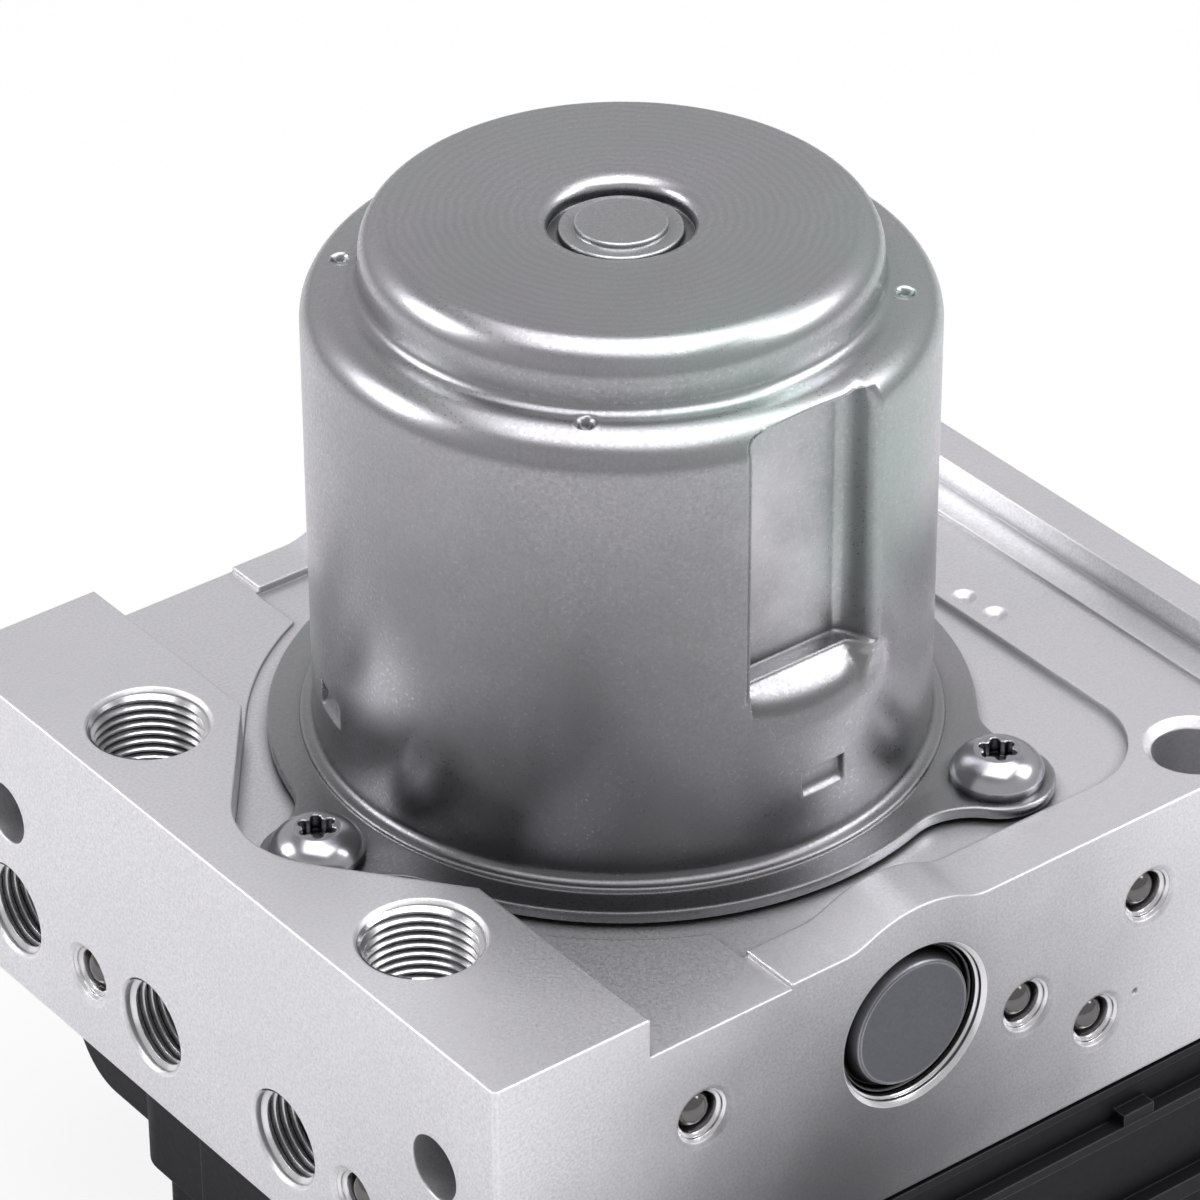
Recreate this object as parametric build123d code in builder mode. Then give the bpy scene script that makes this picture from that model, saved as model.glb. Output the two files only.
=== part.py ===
from build123d import *
import os
from math import sqrt

# ABS brake module: valve block with pump motor on top and control unit below.
# The origin is on the motor axis, in the plane of the flat cover it rests on. +Z is up, along the motor axis.
# -X is the face with the wheel ports, -Y the face that shows the front pump.

os.makedirs("parts", exist_ok=True)

# Valve block
block_length = 107.6  # along X
block_width = 91.3  # along Y
block_height = 35.6  # underside to the top of the port rail
motor_to_left = 50.4  # motor axis to the port face
rail_width = 17.9  # raised port rail on the left
deck_drop = 3.9  # port rail top down to the deck
trough_drop = 0.5  # shallow trough beside the port rail, below the deck
trough_width = 17.0
shelf_rise = 0.4  # narrow shelf before the right rail, above the deck
shelf_width = 3.9
right_rail_width = 4.6
right_rail_drop = 0.5  # below the port rail
rib_rise = 2.05  # rib over the pump bores, above the deck
rib_crown_radius = 14.0
rib_foot_radius = 6.5
corner_break = 0.35  # edge break of the block's upright corners
fit_gap = 0.02  # radial play of a piece pressed or screwed into its bore
running_gap = 0.05  # radial play of a piece that slides or turns

# Control unit envelope
unit_height = 27.4  # rest plane to the block's underside
seal_height = 0.5

# Tube ports
master_port_radius = 6.0  # M12 x 1
master_port_mouth = 6.35
master_port_depth = 12.0
master_port_inset = 8.9  # from the port face
master_port_spacing = 45.2
wheel_port_radius = 5.0  # M10 x 1
wheel_port_mouth = 5.3
wheel_port_depth = 11.0
wheel_port_drop = 26.5  # below the port rail top
wheel_port_inner = 11.3  # distance of the inner pair from the middle
wheel_port_outer = 36.15
flare_radius = 2.4  # drilling below each flare seat
flare_depth = 4.0

# Fixing holes
side_hole_radius = 3.4
side_hole_depth = 14.0
side_hole_drop = 14.4
deck_hole_radius = 4.2
deck_hole_mouth = 5.05
deck_hole_depth = 15.0
deck_hole_x = 40.7
deck_hole_y = 39.7

# Sealing balls pressed into drilled channels
ball_radius = 2.3
ball_mouth = 3.55
ball_bore_depth = 6.0
ball_sink = 0.75  # face to the top of the ball
ball_collar_radius = 2.95
ball_collar_depth = 1.5
punch_mark = (28.8, 25.25)  # small mark in the front face: X, drop below the rail top
front_balls = [(-26.0, 14.5), (14.5, 20.5), (23.95, 26.75), (30.1, 14.2)]  # X, drop below the rail top
side_ball_y = 22.6
side_ball_drop = 26.7

# Peened marks in the deck
peen_marks = [(40.4, -5.4), (40.8, -9.8)]
peen_radius = 1.35
peen_depth = 0.45

# Motor seat milled into the block
seat_drop = 4.7  # below the port rail top
seat_radius = 37.6
seat_left = -16.0  # squared off part of the seat
seat_right = 38.4
seat_corner = 10.0
seat_margin = 0.45  # round each ear
lobe_radius = 10.6  # rounded end of the cut into the port rail
lobe_middle = 34.4  # its distance from the motor axis

# Motor can
can_radius = 30.8
can_sheet = 1.5
can_shoulder = 46.35  # above the port rail top
can_shoulder_radius = 3.9
cap_radius = 25.1
cap_rise = 6.45  # cap top above the shoulder
cap_edge_radius = 3.4
cap_foot_radius = 1.2
flange_sheet = 1.2
gasket_sheet = 0.5
flange_radius = 35.4
flange_bead_radius = 32.2
flange_bead_rise = 0.45
ear_circle = 38.8
ear_radius = 5.8
ear_blend = 7.0
ear_angles = [-177.0, -57.0, 63.0]
boss_groove_radius = 7.1
boss_groove_depth = 2.0
boss_lip = 1.1
button_radius = 6.05
button_sink = 1.1
button_disc_radius = 4.45
button_disc_sink = 0.5
dimple_circle = 27.1
dimple_radius = 0.95
dimple_depth = 0.8
pocket_floor = 26.0  # distance of its flat floor from the motor axis
pocket_rim = 29.0  # distance of its straight upper rim from the motor axis
pocket_left = -7.5
pocket_floor_right = 5.7
pocket_right = 7.9
pocket_bottom = 17.2  # above the port rail top
pocket_roof = 1.15  # sheet left above the pocket, below the shoulder
pocket_bottom_slope = 2.2  # drop of the ledge below the floor, over its depth
window_width = 5.2  # shallow pressed recesses near the flange
window_height = 2.9
window_depth = 0.8
window_rise = 3.5  # above the port rail top
window_angles = [-89.3, 164.5, 37.6]

# Motor screws
screw_radius = 2.4
screw_length = 13.0
screw_head_radius = 4.7
screw_head_height = 3.1
screw_collar_height = 0.9
screw_recess_radius = 1.45
screw_lobe_radius = 0.55
screw_recess_depth = 1.7

# Rotor, with the eccentric that drives the pumps
shaft_radius = 4.0
eccentricity = 1.0
journal_radius = 6.5
ring_radius = 10.0
ring_wall = 1.5
ring_height = 7.5
needle_count = 14
pump_drop = 15.85  # pump axis below the port rail top
chamber_clearance = 1.0
bearing_radius = 13.0
bearing_height = 6.0
inner_ring_radius = 6.0
armature_radius = 21.5
armature_height = 26.0
armature_slots = 12
slot_width = 3.2
slot_depth = 8.5
tooth_lip = 1.6
winding_height = 4.0  # end turns past each end of the core
commutator_radius = 9.0
commutator_height = 8.0
commutator_rise = 1.6  # above the flange
commutator_bars = 12
magnet_thickness = 6.9
magnet_air_gap = 0.7
magnet_half_angle = 24.0
magnet_height = 30.0
bush_radius = 6.5
bush_height = 7.0
bush_holder_wall = 1.5

# Brush gear
holder_radius = 28.6
holder_sheet = 1.4
brush_width = 4.6
brush_height = 5.6
brush_length = 9.0
brush_box_wall = 0.9
brush_angles = [0.0, 90.0]
brush_spring_radius = 2.2

# Motor plug through the block
plug_x = 13.5
plug_y = 19.5
plug_radius = 3.4
blade_width = 2.2
blade_sheet = 0.8
blade_pitch = 3.0

# Pumps
pump_mouth_radius = 9.1
pump_mouth_depth = 3.4
pump_bore_radius = 7.2
pump_bore_depth = 28.0
piston_radius = 3.2
piston_length = 19.0
piston_stroke = 2.0  # twice the eccentricity
pump_cap_radius = 7.35
pump_cap_face = 6.55  # radius of its flat face
pump_cap_sink = 0.35  # block face to the cap's flat face
pump_stake_sink = 1.4  # block face to the top of the staked collar
pump_spring_wire = 0.7
pump_spring_turns = 5

# Pressure accumulators
accumulator_radius = 9.5
accumulator_depth = 17.0
accumulator_x = 27.0
accumulator_inset = 18.65  # front face to the first one
accumulator_pitch = 27.0
accumulator_mouth_radius = 10.5
accumulator_mouth_depth = 2.4
accumulator_piston_length = 5.5
accumulator_piston_wall = 1.6
accumulator_piston_floor = 1.8
accumulator_spring_wire = 1.3
accumulator_spring_turns = 3

# Solenoid valves
valve_rows = [-20.0, 2.0]  # X of the inlet row and the outlet row
valve_pitch = 16.0
valve_middle = -9.9
valve_radius = 5.0
valve_depth = 11.0
dome_radius = 3.0
dome_wall = 0.45
dome_length = 14.6
plunger_length = 9.0
plunger_travel = 0.25
plunger_rod_radius = 0.9
coil_radius = 7.6
coil_height = 11.0
yoke_wall = 0.9

# Control unit
unit_left = -43.9
unit_right = 55.6
unit_front = -45.45
unit_back = 25.85
unit_corner = 4.0
shallow_back = 36.4  # rounded rear part of the housing
shallow_bottom = 13.5
shallow_round = 6.5
cover_height = 8.0
seam_height = 0.8
cover_inset = 1.5
cover_round = 2.0
unit_wall = 2.2
lip_height = 2.0
ledge_reach = 1.7
upper_ledge_z = 21.2
upper_ledge_height = 1.2
lower_ledge_height = 2.2
ledge_tab = (27.0, 31.0, 1.3)  # its X range, height above the upper ledge
rim_reach = 0.25
rim_height = 1.0
panel_rise = 0.5
panel_edge_y = 12.75
connector_left = 57.9
connector_right = 80.0
connector_front = -36.0
connector_back = 16.0
connector_top = 37.0
connector_floor = 16.0
connector_wall = 1.8
connector_pin_top = 25.5
pin_side = 0.9
pin_pitch = 4.4
board_sheet = 1.6
board_z = 9.9
unit_screw_radius = 2.4
unit_screw_head = 4.0
unit_screw_head_height = 3.2
unit_screw_seat = 12.0
unit_boss_radius = 5.4
unit_screw_grip = 6.5  # length in the block
unit_screws = [(-36.6, -27.0), (48.4, -38.3), (-36.6, 18.5), (48.4, 18.5)]

# Levels and faces that follow from the sizes above
rail_top = unit_height + block_height
deck = rail_top - deck_drop
trough = deck - trough_drop
shelf = deck + shelf_rise
right_rail_top = rail_top - right_rail_drop
seat = rail_top - seat_drop
left = -motor_to_left
right = left + block_length
front = -block_width / 2
back = block_width / 2
rib_top = deck + rib_rise
rail_edge = left + rail_width
trough_edge = rail_edge + trough_width
right_rail_edge = right - right_rail_width
shelf_edge = right_rail_edge - shelf_width
pump_z = rail_top - pump_drop
flange_bottom = seat + gasket_sheet
flange_top = flange_bottom + flange_sheet
shoulder = rail_top + can_shoulder
can_top = shoulder + cap_rise
can_inner = can_radius - can_sheet
chamber_radius = ring_radius + eccentricity + chamber_clearance
chamber_floor = pump_z - ring_height / 2 - 2.0
bearing_bottom = seat - bearing_height
housing_bottom = cover_height + seam_height
housing_top = unit_height - seal_height
accumulator_places = [
    (accumulator_x, front + accumulator_inset),
    (accumulator_x, front + accumulator_inset + accumulator_pitch),
]
valve_places = [valve_middle + valve_pitch * k for k in (-1.5, -0.5, 0.5, 1.5)]

left_face = Plane(origin=(left, 0, 0), x_dir=(0, -1, 0), z_dir=(-1, 0, 0))
right_face = Plane(origin=(right, 0, 0), x_dir=(0, 1, 0), z_dir=(1, 0, 0))
front_face = Plane(origin=(0, front, 0), x_dir=(1, 0, 0), z_dir=(0, -1, 0))
back_face = Plane(origin=(0, back, 0), x_dir=(-1, 0, 0), z_dir=(0, 1, 0))
under_face = Plane(origin=(0, 0, unit_height), x_dir=(1, 0, 0), z_dir=(0, 0, -1))
ear_points = [(ear_circle * Vector(1, 0).rotate(Axis.Z, angle)) for angle in ear_angles]
ball_holes = [front_face.location * Location((x, rail_top - drop, 0)) for x, drop in front_balls]
ball_holes += [back_face.location * Location((-x, rail_top - drop, 0)) for x, drop in front_balls]
ball_holes += [
    left_face.location * Location((y, rail_top - side_ball_drop, 0)) for y in (-side_ball_y, side_ball_y)
]
pump_faces = [face.location * Location((0, pump_z, 0)) for face in (front_face, back_face)]


def save(piece, name):
    """Label a finished piece and write its file."""
    piece.label = name
    export_step(piece, f"parts/{name}.step")


def revolved(points, plane=Plane.XZ):
    """A turned piece from its half section, given as radius and height along the plane's axis."""
    with BuildPart() as turned:
        with BuildSketch(plane):
            with BuildLine():
                Polyline(*points, close=True)
            make_face()
        revolve(axis=Axis(plane.origin, plane.y_dir))
    return turned.part


# Valve block: the section is constant along Y, as extruded, and every bore is machined
with BuildPart() as valve_block:
    with BuildSketch(Plane.XZ.offset(-back)):
        with BuildLine():
            Polyline(
                (left, unit_height),
                (right, unit_height),
                (right, right_rail_top),
                (right_rail_edge, right_rail_top),
                (right_rail_edge, shelf),
                (shelf_edge, shelf),
                (shelf_edge, deck),
                (trough_edge, deck),
                (trough_edge, trough),
                (rail_edge, trough),
                (rail_edge, rail_top),
                (left, rail_top),
                close=True,
            )
        make_face()
        with BuildSketch(Plane.XY, mode=Mode.PRIVATE) as crown:
            with Locations((0, rib_top - rib_crown_radius)):
                Circle(rib_crown_radius)
            with Locations((0, deck)):
                Rectangle(2 * rib_crown_radius, 2 * rib_rise, mode=Mode.INTERSECT)
        add(crown.sketch)
        rib_feet = [v for v in vertices() if abs(v.Y - deck) < 0.01 and abs(v.X) < rib_crown_radius / 1.5]
        fillet(rib_feet, rib_foot_radius)
    extrude(amount=block_width)
    upright = edges().filter_by(Axis.Z)
    outer = [e for e in upright if min(abs(e.center().X - left), abs(e.center().X - right)) < 0.01]
    chamfer(outer, corner_break)

    # Motor seat: round, squared off on the right, with a lobe cut into the port rail
    with BuildSketch(Plane.XY.offset(seat)) as seat_sketch:
        Circle(seat_radius)
        seat_front = ear_points[1].Y - ear_radius - seat_margin
        seat_rear = ear_points[2].Y + ear_radius + seat_margin
        with BuildSketch(mode=Mode.PRIVATE) as square_part:
            with Locations(((seat_left + seat_right) / 2, (seat_front + seat_rear) / 2)):
                Rectangle(seat_right - seat_left, seat_rear - seat_front)
            fillet(vertices().group_by(Axis.X)[-1], seat_corner)
        add(square_part.sketch)
        with BuildSketch(mode=Mode.PRIVATE) as lobe_part:
            Circle(seat_radius)
            with Locations((-lobe_middle, 0)):
                Circle(lobe_radius)
            make_hull()
        add(lobe_part.sketch)
    extrude(amount=2 * seat_drop, mode=Mode.SUBTRACT)

    # Bearing seat, eccentric chamber, drilling for the motor plug
    with Locations((0, 0, seat)):
        CounterBoreHole(chamber_radius, bearing_radius + fit_gap, bearing_height, seat - chamber_floor)
    with Locations((plug_x, plug_y, seat)):
        Hole(plug_radius + 2 * running_gap)
    with Locations(*[(p.X, p.Y, seat) for p in ear_points]):
        Hole(screw_radius + fit_gap, screw_length)

    # Tube ports at the thread's nominal radius, countersunk mouth, flare drilling
    with Locations(*[(left + master_port_inset, s * master_port_spacing / 2, rail_top) for s in (-1, 1)]):
        CounterSinkHole(master_port_radius, master_port_mouth, master_port_depth, 90)
        Hole(flare_radius, master_port_depth + flare_depth)
    wheel_ports = [
        left_face.location * Location((y, rail_top - wheel_port_drop, 0))
        for y in (-wheel_port_outer, -wheel_port_inner, wheel_port_inner, wheel_port_outer)
    ]
    with Locations(*wheel_ports):
        CounterSinkHole(wheel_port_radius, wheel_port_mouth, wheel_port_depth, 90)
        Hole(flare_radius, wheel_port_depth + flare_depth)

    # Fixing holes for the bracket
    side_holes = [
        left_face.location * Location((y, rail_top - side_hole_drop, 0))
        for y in (-wheel_port_outer, wheel_port_outer)
    ]
    with Locations(*side_holes):
        Hole(side_hole_radius, side_hole_depth)
    with Locations(*[(deck_hole_x, s * deck_hole_y, deck) for s in (-1, 1)]):
        CounterSinkHole(deck_hole_radius, deck_hole_mouth, deck_hole_depth, 90)

    # Drilled channels closed by balls
    with Locations(*ball_holes):
        CounterSinkHole(ball_radius + fit_gap, ball_mouth, ball_bore_depth, 120)
        Hole(ball_collar_radius, ball_collar_depth)

    # Peened marks in the deck, punch mark in the front face
    with Locations(*[(x, y, deck) for x, y in peen_marks]):
        Cone(0.5, 2 * peen_radius - 0.5, 2 * peen_depth, mode=Mode.SUBTRACT)
    with Locations(front_face.location * Location((punch_mark[0], rail_top - punch_mark[1], 0))):
        Cone(0.2, 0.6, 0.8, mode=Mode.SUBTRACT)

    # Pump bores, accumulator bores, valve bores, holes for the control unit's screws
    with Locations(*pump_faces):
        CounterBoreHole(pump_bore_radius, pump_mouth_radius, pump_mouth_depth, pump_bore_depth)
        Hole(piston_radius + 4 * running_gap, block_width / 2 - chamber_radius / 2)
    with Locations(*[under_face.location * Location((x, -y, 0)) for x, y in accumulator_places]):
        CounterBoreHole(
            accumulator_radius, accumulator_mouth_radius, accumulator_mouth_depth, accumulator_depth
        )
    valve_bores = [(x, -y, 0) for x in valve_rows for y in valve_places]
    with Locations(*[under_face.location * Location(place) for place in valve_bores]):
        Hole(valve_radius, valve_depth)
    with Locations(*[under_face.location * Location((x, -y, 0)) for x, y in unit_screws]):
        Hole(unit_screw_radius + fit_gap, unit_screw_grip + 0.5)
save(valve_block.part, "valve_block")

# Sealing balls
with BuildPart() as sealing_balls:
    with Locations(*[hole * Location((0, 0, -ball_sink - ball_radius)) for hole in ball_holes]):
        Sphere(ball_radius)
save(sealing_balls.part, "sealing_balls")

# Motor gasket: a thin ring with the flange's outline, open over the bearing
with BuildPart() as motor_gasket:
    with BuildSketch(Plane.XY.offset(seat)):
        Circle(flange_radius - 1.0)
        Circle(can_inner, mode=Mode.SUBTRACT)
    extrude(amount=gasket_sheet)
save(motor_gasket.part, "motor_gasket")


def pocket_prism(grow):
    """The pressed side pocket of the can, grown by the sheet for its inner side."""
    low = rail_top + pocket_bottom - grow
    with BuildPart() as prism:
        for floor, floor_right, top in (
            (pocket_floor, pocket_floor_right, shoulder - pocket_roof),
            (pocket_rim, pocket_floor_right - 0.6, shoulder + 1.0),
        ):
            with BuildSketch(Plane.XY.offset(low)):
                with BuildLine():
                    Polyline(
                        (pocket_left - grow, -floor + grow),
                        (floor_right + grow / 2, -floor + grow),
                        (pocket_right + grow, -can_radius - 0.5),
                        (pocket_left - grow, -can_radius - 0.5),
                        close=True,
                    )
                make_face()
            extrude(amount=top - low)
        with BuildSketch(Plane.YZ.offset(pocket_left - grow)):
            with BuildLine():
                Polyline(
                    (-pocket_floor + grow, low),
                    (-can_radius - 0.5, low),
                    (-can_radius - 0.5, low - pocket_bottom_slope),
                    close=True,
                )
            make_face()
        extrude(amount=pocket_right - pocket_left + 2 * grow)
    return prism.part


# Ear of the flange: its round end blends into the flange by two arcs
flange_far = flange_radius + ear_blend
ear_far = ear_radius + ear_blend
blend_x = (flange_far**2 - ear_far**2 + ear_circle**2) / (2 * ear_circle)
blend_y = sqrt(flange_far**2 - blend_x**2)
blend_middle = Vector(blend_x, blend_y)
on_flange = blend_middle * (flange_radius / flange_far)
on_ear = Vector(ear_circle, 0) + (blend_middle - Vector(ear_circle, 0)) * (ear_radius / ear_far)
halfway = (on_flange + on_ear) * 0.5 - blend_middle
on_blend = blend_middle + halfway.normalized() * ear_blend
with BuildSketch() as ear_shape:
    with BuildLine():
        Line((0, 0), (on_flange.X, on_flange.Y))
        ThreePointArc((on_flange.X, on_flange.Y), (on_blend.X, on_blend.Y), (on_ear.X, on_ear.Y))
        ThreePointArc((on_ear.X, on_ear.Y), (ear_circle + ear_radius, 0), (on_ear.X, -on_ear.Y))
        ThreePointArc((on_ear.X, -on_ear.Y), (on_blend.X, -on_blend.Y), (on_flange.X, -on_flange.Y))
        Line((on_flange.X, -on_flange.Y), (0, 0))
    make_face()

# Motor can: one drawn sheet with its flange, ears, pocket, window recesses and bearing boss
with BuildPart() as motor_can:
    with BuildSketch(Plane.XY.offset(flange_bottom)):
        Circle(flange_radius)
        for angle in ear_angles:
            with PolarLocations(0, 1, angle):
                add(ear_shape.sketch)
    extrude(amount=flange_sheet)
    with BuildSketch(Plane.XZ):
        with BuildLine():
            Polyline(
                (0, flange_bottom),
                (flange_bead_radius, flange_bottom),
                (flange_bead_radius, flange_top + flange_bead_rise),
                (can_radius, flange_top + flange_bead_rise),
                (can_radius, shoulder),
                (cap_radius, shoulder),
                (cap_radius, can_top),
                (0, can_top),
                close=True,
            )
        make_face()
        corners = vertices()
        fillet([v for v in corners if abs(v.X - can_radius) < 0.01 and v.Y > flange_top + 1], can_shoulder_radius)
        fillet([v for v in vertices() if abs(v.X - can_radius) < 0.01 and v.Y < flange_top + 1], 1.0)
        fillet([v for v in vertices() if abs(v.X - cap_radius) < 0.01 and v.Y > can_top - 0.01], cap_edge_radius)
        fillet([v for v in vertices() if abs(v.X - cap_radius) < 0.01 and v.Y < shoulder + 0.01], cap_foot_radius)
        fillet(
            [v for v in vertices() if abs(v.X - flange_bead_radius) < 0.01 and v.Y > flange_top], 0.3
        )
    revolve(axis=Axis.Z)
    add(pocket_prism(0), mode=Mode.SUBTRACT)

    # Inside of the can, with the pocket standing into it and a holder for the rear bush
    with BuildPart(mode=Mode.PRIVATE) as cavity:
        with BuildSketch(Plane.XZ):
            with BuildLine():
                Polyline(
                    (0, flange_bottom),
                    (can_inner, flange_bottom),
                    (can_inner, shoulder - can_sheet),
                    (cap_radius - can_sheet, shoulder - can_sheet),
                    (cap_radius - can_sheet, can_top - can_sheet),
                    (bush_radius + bush_holder_wall, can_top - can_sheet - boss_groove_depth),
                    (bush_radius + bush_holder_wall, can_top - boss_groove_depth - can_sheet - bush_height),
                    (bush_radius, can_top - boss_groove_depth - can_sheet - bush_height),
                    (bush_radius, can_top - boss_groove_depth - can_sheet),
                    (0, can_top - boss_groove_depth - can_sheet),
                    close=True,
                )
            make_face()
            fillet([v for v in vertices() if v.X > cap_radius - can_sheet - 0.01 and v.Y > shoulder - 2], 1.8)
        revolve(axis=Axis.Z)
        add(pocket_prism(can_sheet), mode=Mode.SUBTRACT)
    add(cavity.part, mode=Mode.SUBTRACT)

    # Bearing boss: sunk groove round a stepped button
    groove_floor = can_top - boss_groove_depth
    with BuildSketch(Plane.XZ):
        with BuildLine():
            Polyline(
                (button_radius, groove_floor),
                (boss_groove_radius, groove_floor),
                (boss_groove_radius, can_top - boss_lip),
                (boss_groove_radius + boss_lip, can_top),
                (boss_groove_radius + boss_lip, can_top + 1),
                (0, can_top + 1),
                (0, can_top - button_disc_sink),
                (button_disc_radius, can_top - button_disc_sink),
                (button_disc_radius, can_top - button_sink),
                (button_radius, can_top - button_sink),
                close=True,
            )
        make_face()
    revolve(axis=Axis.Z, mode=Mode.SUBTRACT)

    # Peened dimples, window recesses, holes in the ears
    with PolarLocations(dimple_circle, 4, 45):
        with Locations((0, 0, shoulder)):
            Cone(0.3, 2 * dimple_radius - 0.3, 2 * dimple_depth, mode=Mode.SUBTRACT)
    for angle in window_angles:
        window = Plane(origin=(0, 0, rail_top + window_rise + window_height / 2)).rotated((0, 0, angle))
        with BuildSketch(Plane(window.origin, x_dir=window.y_dir, z_dir=window.x_dir).offset(can_radius)):
            Rectangle(window_width, window_height)
        extrude(amount=-window_depth, mode=Mode.SUBTRACT)
    with Locations(*[(p.X, p.Y, flange_top) for p in ear_points]):
        Hole(screw_radius + 0.3, flange_sheet)
save(motor_can.part, "motor_can")

# Motor screws: pan heads with a pressed collar and a six-lobe recess
with BuildPart() as motor_screws:
    for point in ear_points:
        head_plane = Plane(origin=(point.X, point.Y, flange_top), x_dir=(1, 0, 0), z_dir=(0, -1, 0))
        with BuildSketch(head_plane):
            with BuildLine():
                Line((0, screw_head_height), (screw_recess_radius + 0.9, screw_head_height))
                ThreePointArc(
                    (screw_recess_radius + 0.9, screw_head_height),
                    (screw_head_radius * 0.82, screw_head_height * 0.72),
                    (screw_head_radius, screw_collar_height),
                )
                Polyline(
                    (screw_head_radius, screw_collar_height),
                    (screw_head_radius, 0),
                    (screw_radius, 0),
                    (screw_radius, -screw_length),
                    (0, -screw_length),
                    (0, screw_head_height),
                )
            make_face()
        revolve(axis=Axis((point.X, point.Y, 0), (0, 0, 1)))
    for point in ear_points:
        with BuildSketch(Plane(origin=(point.X, point.Y, flange_top + screw_head_height))):
            Circle(screw_recess_radius)
            with PolarLocations(screw_recess_radius, 6):
                Circle(screw_lobe_radius)
        extrude(amount=-screw_recess_depth, mode=Mode.SUBTRACT)
save(motor_screws.part, "motor_screws")

# Rotor shaft with its eccentric journal
journal_bottom = pump_z - ring_height / 2
shaft_top = can_top - boss_groove_depth - can_sheet - 0.5
with BuildPart() as rotor_shaft:
    with Locations((0, 0, journal_bottom + ring_height)):
        Cylinder(
            shaft_radius, shaft_top - journal_bottom - ring_height, align=(Align.CENTER, Align.CENTER, Align.MIN)
        )
    with Locations((eccentricity, 0, journal_bottom)):
        Cylinder(journal_radius, ring_height, align=(Align.CENTER, Align.CENTER, Align.MIN))
    chamfer(edges().filter_by(GeomType.CIRCLE).group_by(Axis.Z)[-1], 0.6)
save(rotor_shaft.part, "rotor_shaft")

# Bearing on the eccentric: outer ring and needles
needle_radius = (ring_radius - ring_wall - journal_radius) / 2 - 0.01
with BuildPart() as eccentric_ring:
    with BuildSketch(Plane.XY.offset(journal_bottom)):
        with Locations((eccentricity, 0)):
            Circle(ring_radius)
            Circle(ring_radius - ring_wall, mode=Mode.SUBTRACT)
    extrude(amount=ring_height)
save(eccentric_ring.part, "eccentric_ring")
with BuildPart() as eccentric_needles:
    with Locations((eccentricity, 0, journal_bottom + 0.5)):
        with PolarLocations(journal_radius + needle_radius + 0.01, needle_count):
            Cylinder(needle_radius, ring_height - 1.0, align=(Align.CENTER, Align.CENTER, Align.MIN))
save(eccentric_needles.part, "eccentric_needles")

# Front bearing: outer ring with shields in the block, inner ring on the shaft
save(
    revolved(
        [
            (inner_ring_radius + running_gap, bearing_bottom),
            (bearing_radius, bearing_bottom),
            (bearing_radius, seat),
            (inner_ring_radius + running_gap, seat),
        ]
    ),
    "front_bearing",
)
save(
    revolved(
        [
            (shaft_radius + fit_gap, bearing_bottom),
            (inner_ring_radius, bearing_bottom),
            (inner_ring_radius, seat),
            (shaft_radius + fit_gap, seat),
        ]
    ),
    "front_bearing_inner",
)

# Armature: slotted core, winding in the slots and over both ends, commutator
commutator_bottom = flange_top + commutator_rise
commutator_top = commutator_bottom + commutator_height
core_bottom = commutator_top + winding_height + 0.6
core_top = core_bottom + armature_height
with BuildPart() as armature_core:
    with BuildSketch(Plane.XY.offset(core_bottom)):
        Circle(armature_radius)
        Circle(shaft_radius + fit_gap, mode=Mode.SUBTRACT)
        with PolarLocations(armature_radius - tooth_lip - slot_depth / 2, armature_slots):
            Rectangle(slot_depth, slot_width, mode=Mode.SUBTRACT)
        with PolarLocations(armature_radius - tooth_lip / 2, armature_slots):
            Rectangle(2 * tooth_lip, slot_width / 2.5, mode=Mode.SUBTRACT)
    extrude(amount=armature_height)
save(armature_core.part, "armature_core")
with BuildPart() as armature_winding:
    with BuildSketch(Plane.XY.offset(core_bottom - winding_height)):
        Circle(armature_radius - tooth_lip - 0.3)
        Circle(armature_radius - tooth_lip - slot_depth + 0.3, mode=Mode.SUBTRACT)
    extrude(amount=winding_height)
    with BuildSketch(Plane.XY.offset(core_top)):
        Circle(armature_radius - tooth_lip - 0.3)
        Circle(armature_radius - tooth_lip - slot_depth + 0.3, mode=Mode.SUBTRACT)
    extrude(amount=winding_height)
    with BuildSketch(Plane.XY.offset(core_bottom)):
        with PolarLocations(armature_radius - tooth_lip - slot_depth / 2, armature_slots):
            Rectangle(slot_depth - 0.8, slot_width - 0.2)
    extrude(amount=armature_height)
save(armature_winding.part, "armature_winding")
with BuildPart() as commutator:
    with BuildSketch(Plane.XY.offset(commutator_bottom)):
        Circle(commutator_radius)
        Circle(shaft_radius + fit_gap, mode=Mode.SUBTRACT)
        with PolarLocations(commutator_radius, commutator_bars):
            Rectangle(1.6, 0.5, mode=Mode.SUBTRACT)
    extrude(amount=commutator_height)
save(commutator.part, "commutator")

# Field magnets glued to the inside of the can
magnet_bottom = (core_bottom + core_top - magnet_height) / 2
magnet_inner = armature_radius + magnet_air_gap
with BuildPart() as field_magnets:
    with BuildSketch(Plane.XY.offset(magnet_bottom)):
        for angle in (45, 135, 225, 315):
            with BuildSketch(mode=Mode.PRIVATE) as arc_shape:
                Circle(magnet_inner + magnet_thickness)
                Circle(magnet_inner, mode=Mode.SUBTRACT)
                edge_up = 2 * can_radius * Vector(1, 0).rotate(Axis.Z, angle + magnet_half_angle)
                edge_down = 2 * can_radius * Vector(1, 0).rotate(Axis.Z, angle - magnet_half_angle)
                with BuildLine():
                    Polyline((0, 0), (edge_down.X, edge_down.Y), (edge_up.X, edge_up.Y), close=True)
                make_face(mode=Mode.INTERSECT)
            add(arc_shape.sketch)
    extrude(amount=magnet_height)
save(field_magnets.part, "field_magnets")

# Rear bush
bush_top = can_top - boss_groove_depth - can_sheet
save(
    revolved(
        [
            (shaft_radius + running_gap, bush_top - bush_height),
            (bush_radius - fit_gap, bush_top - bush_height),
            (bush_radius - fit_gap, bush_top),
            (shaft_radius + running_gap, bush_top),
        ]
    ),
    "rear_bush",
)

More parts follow.
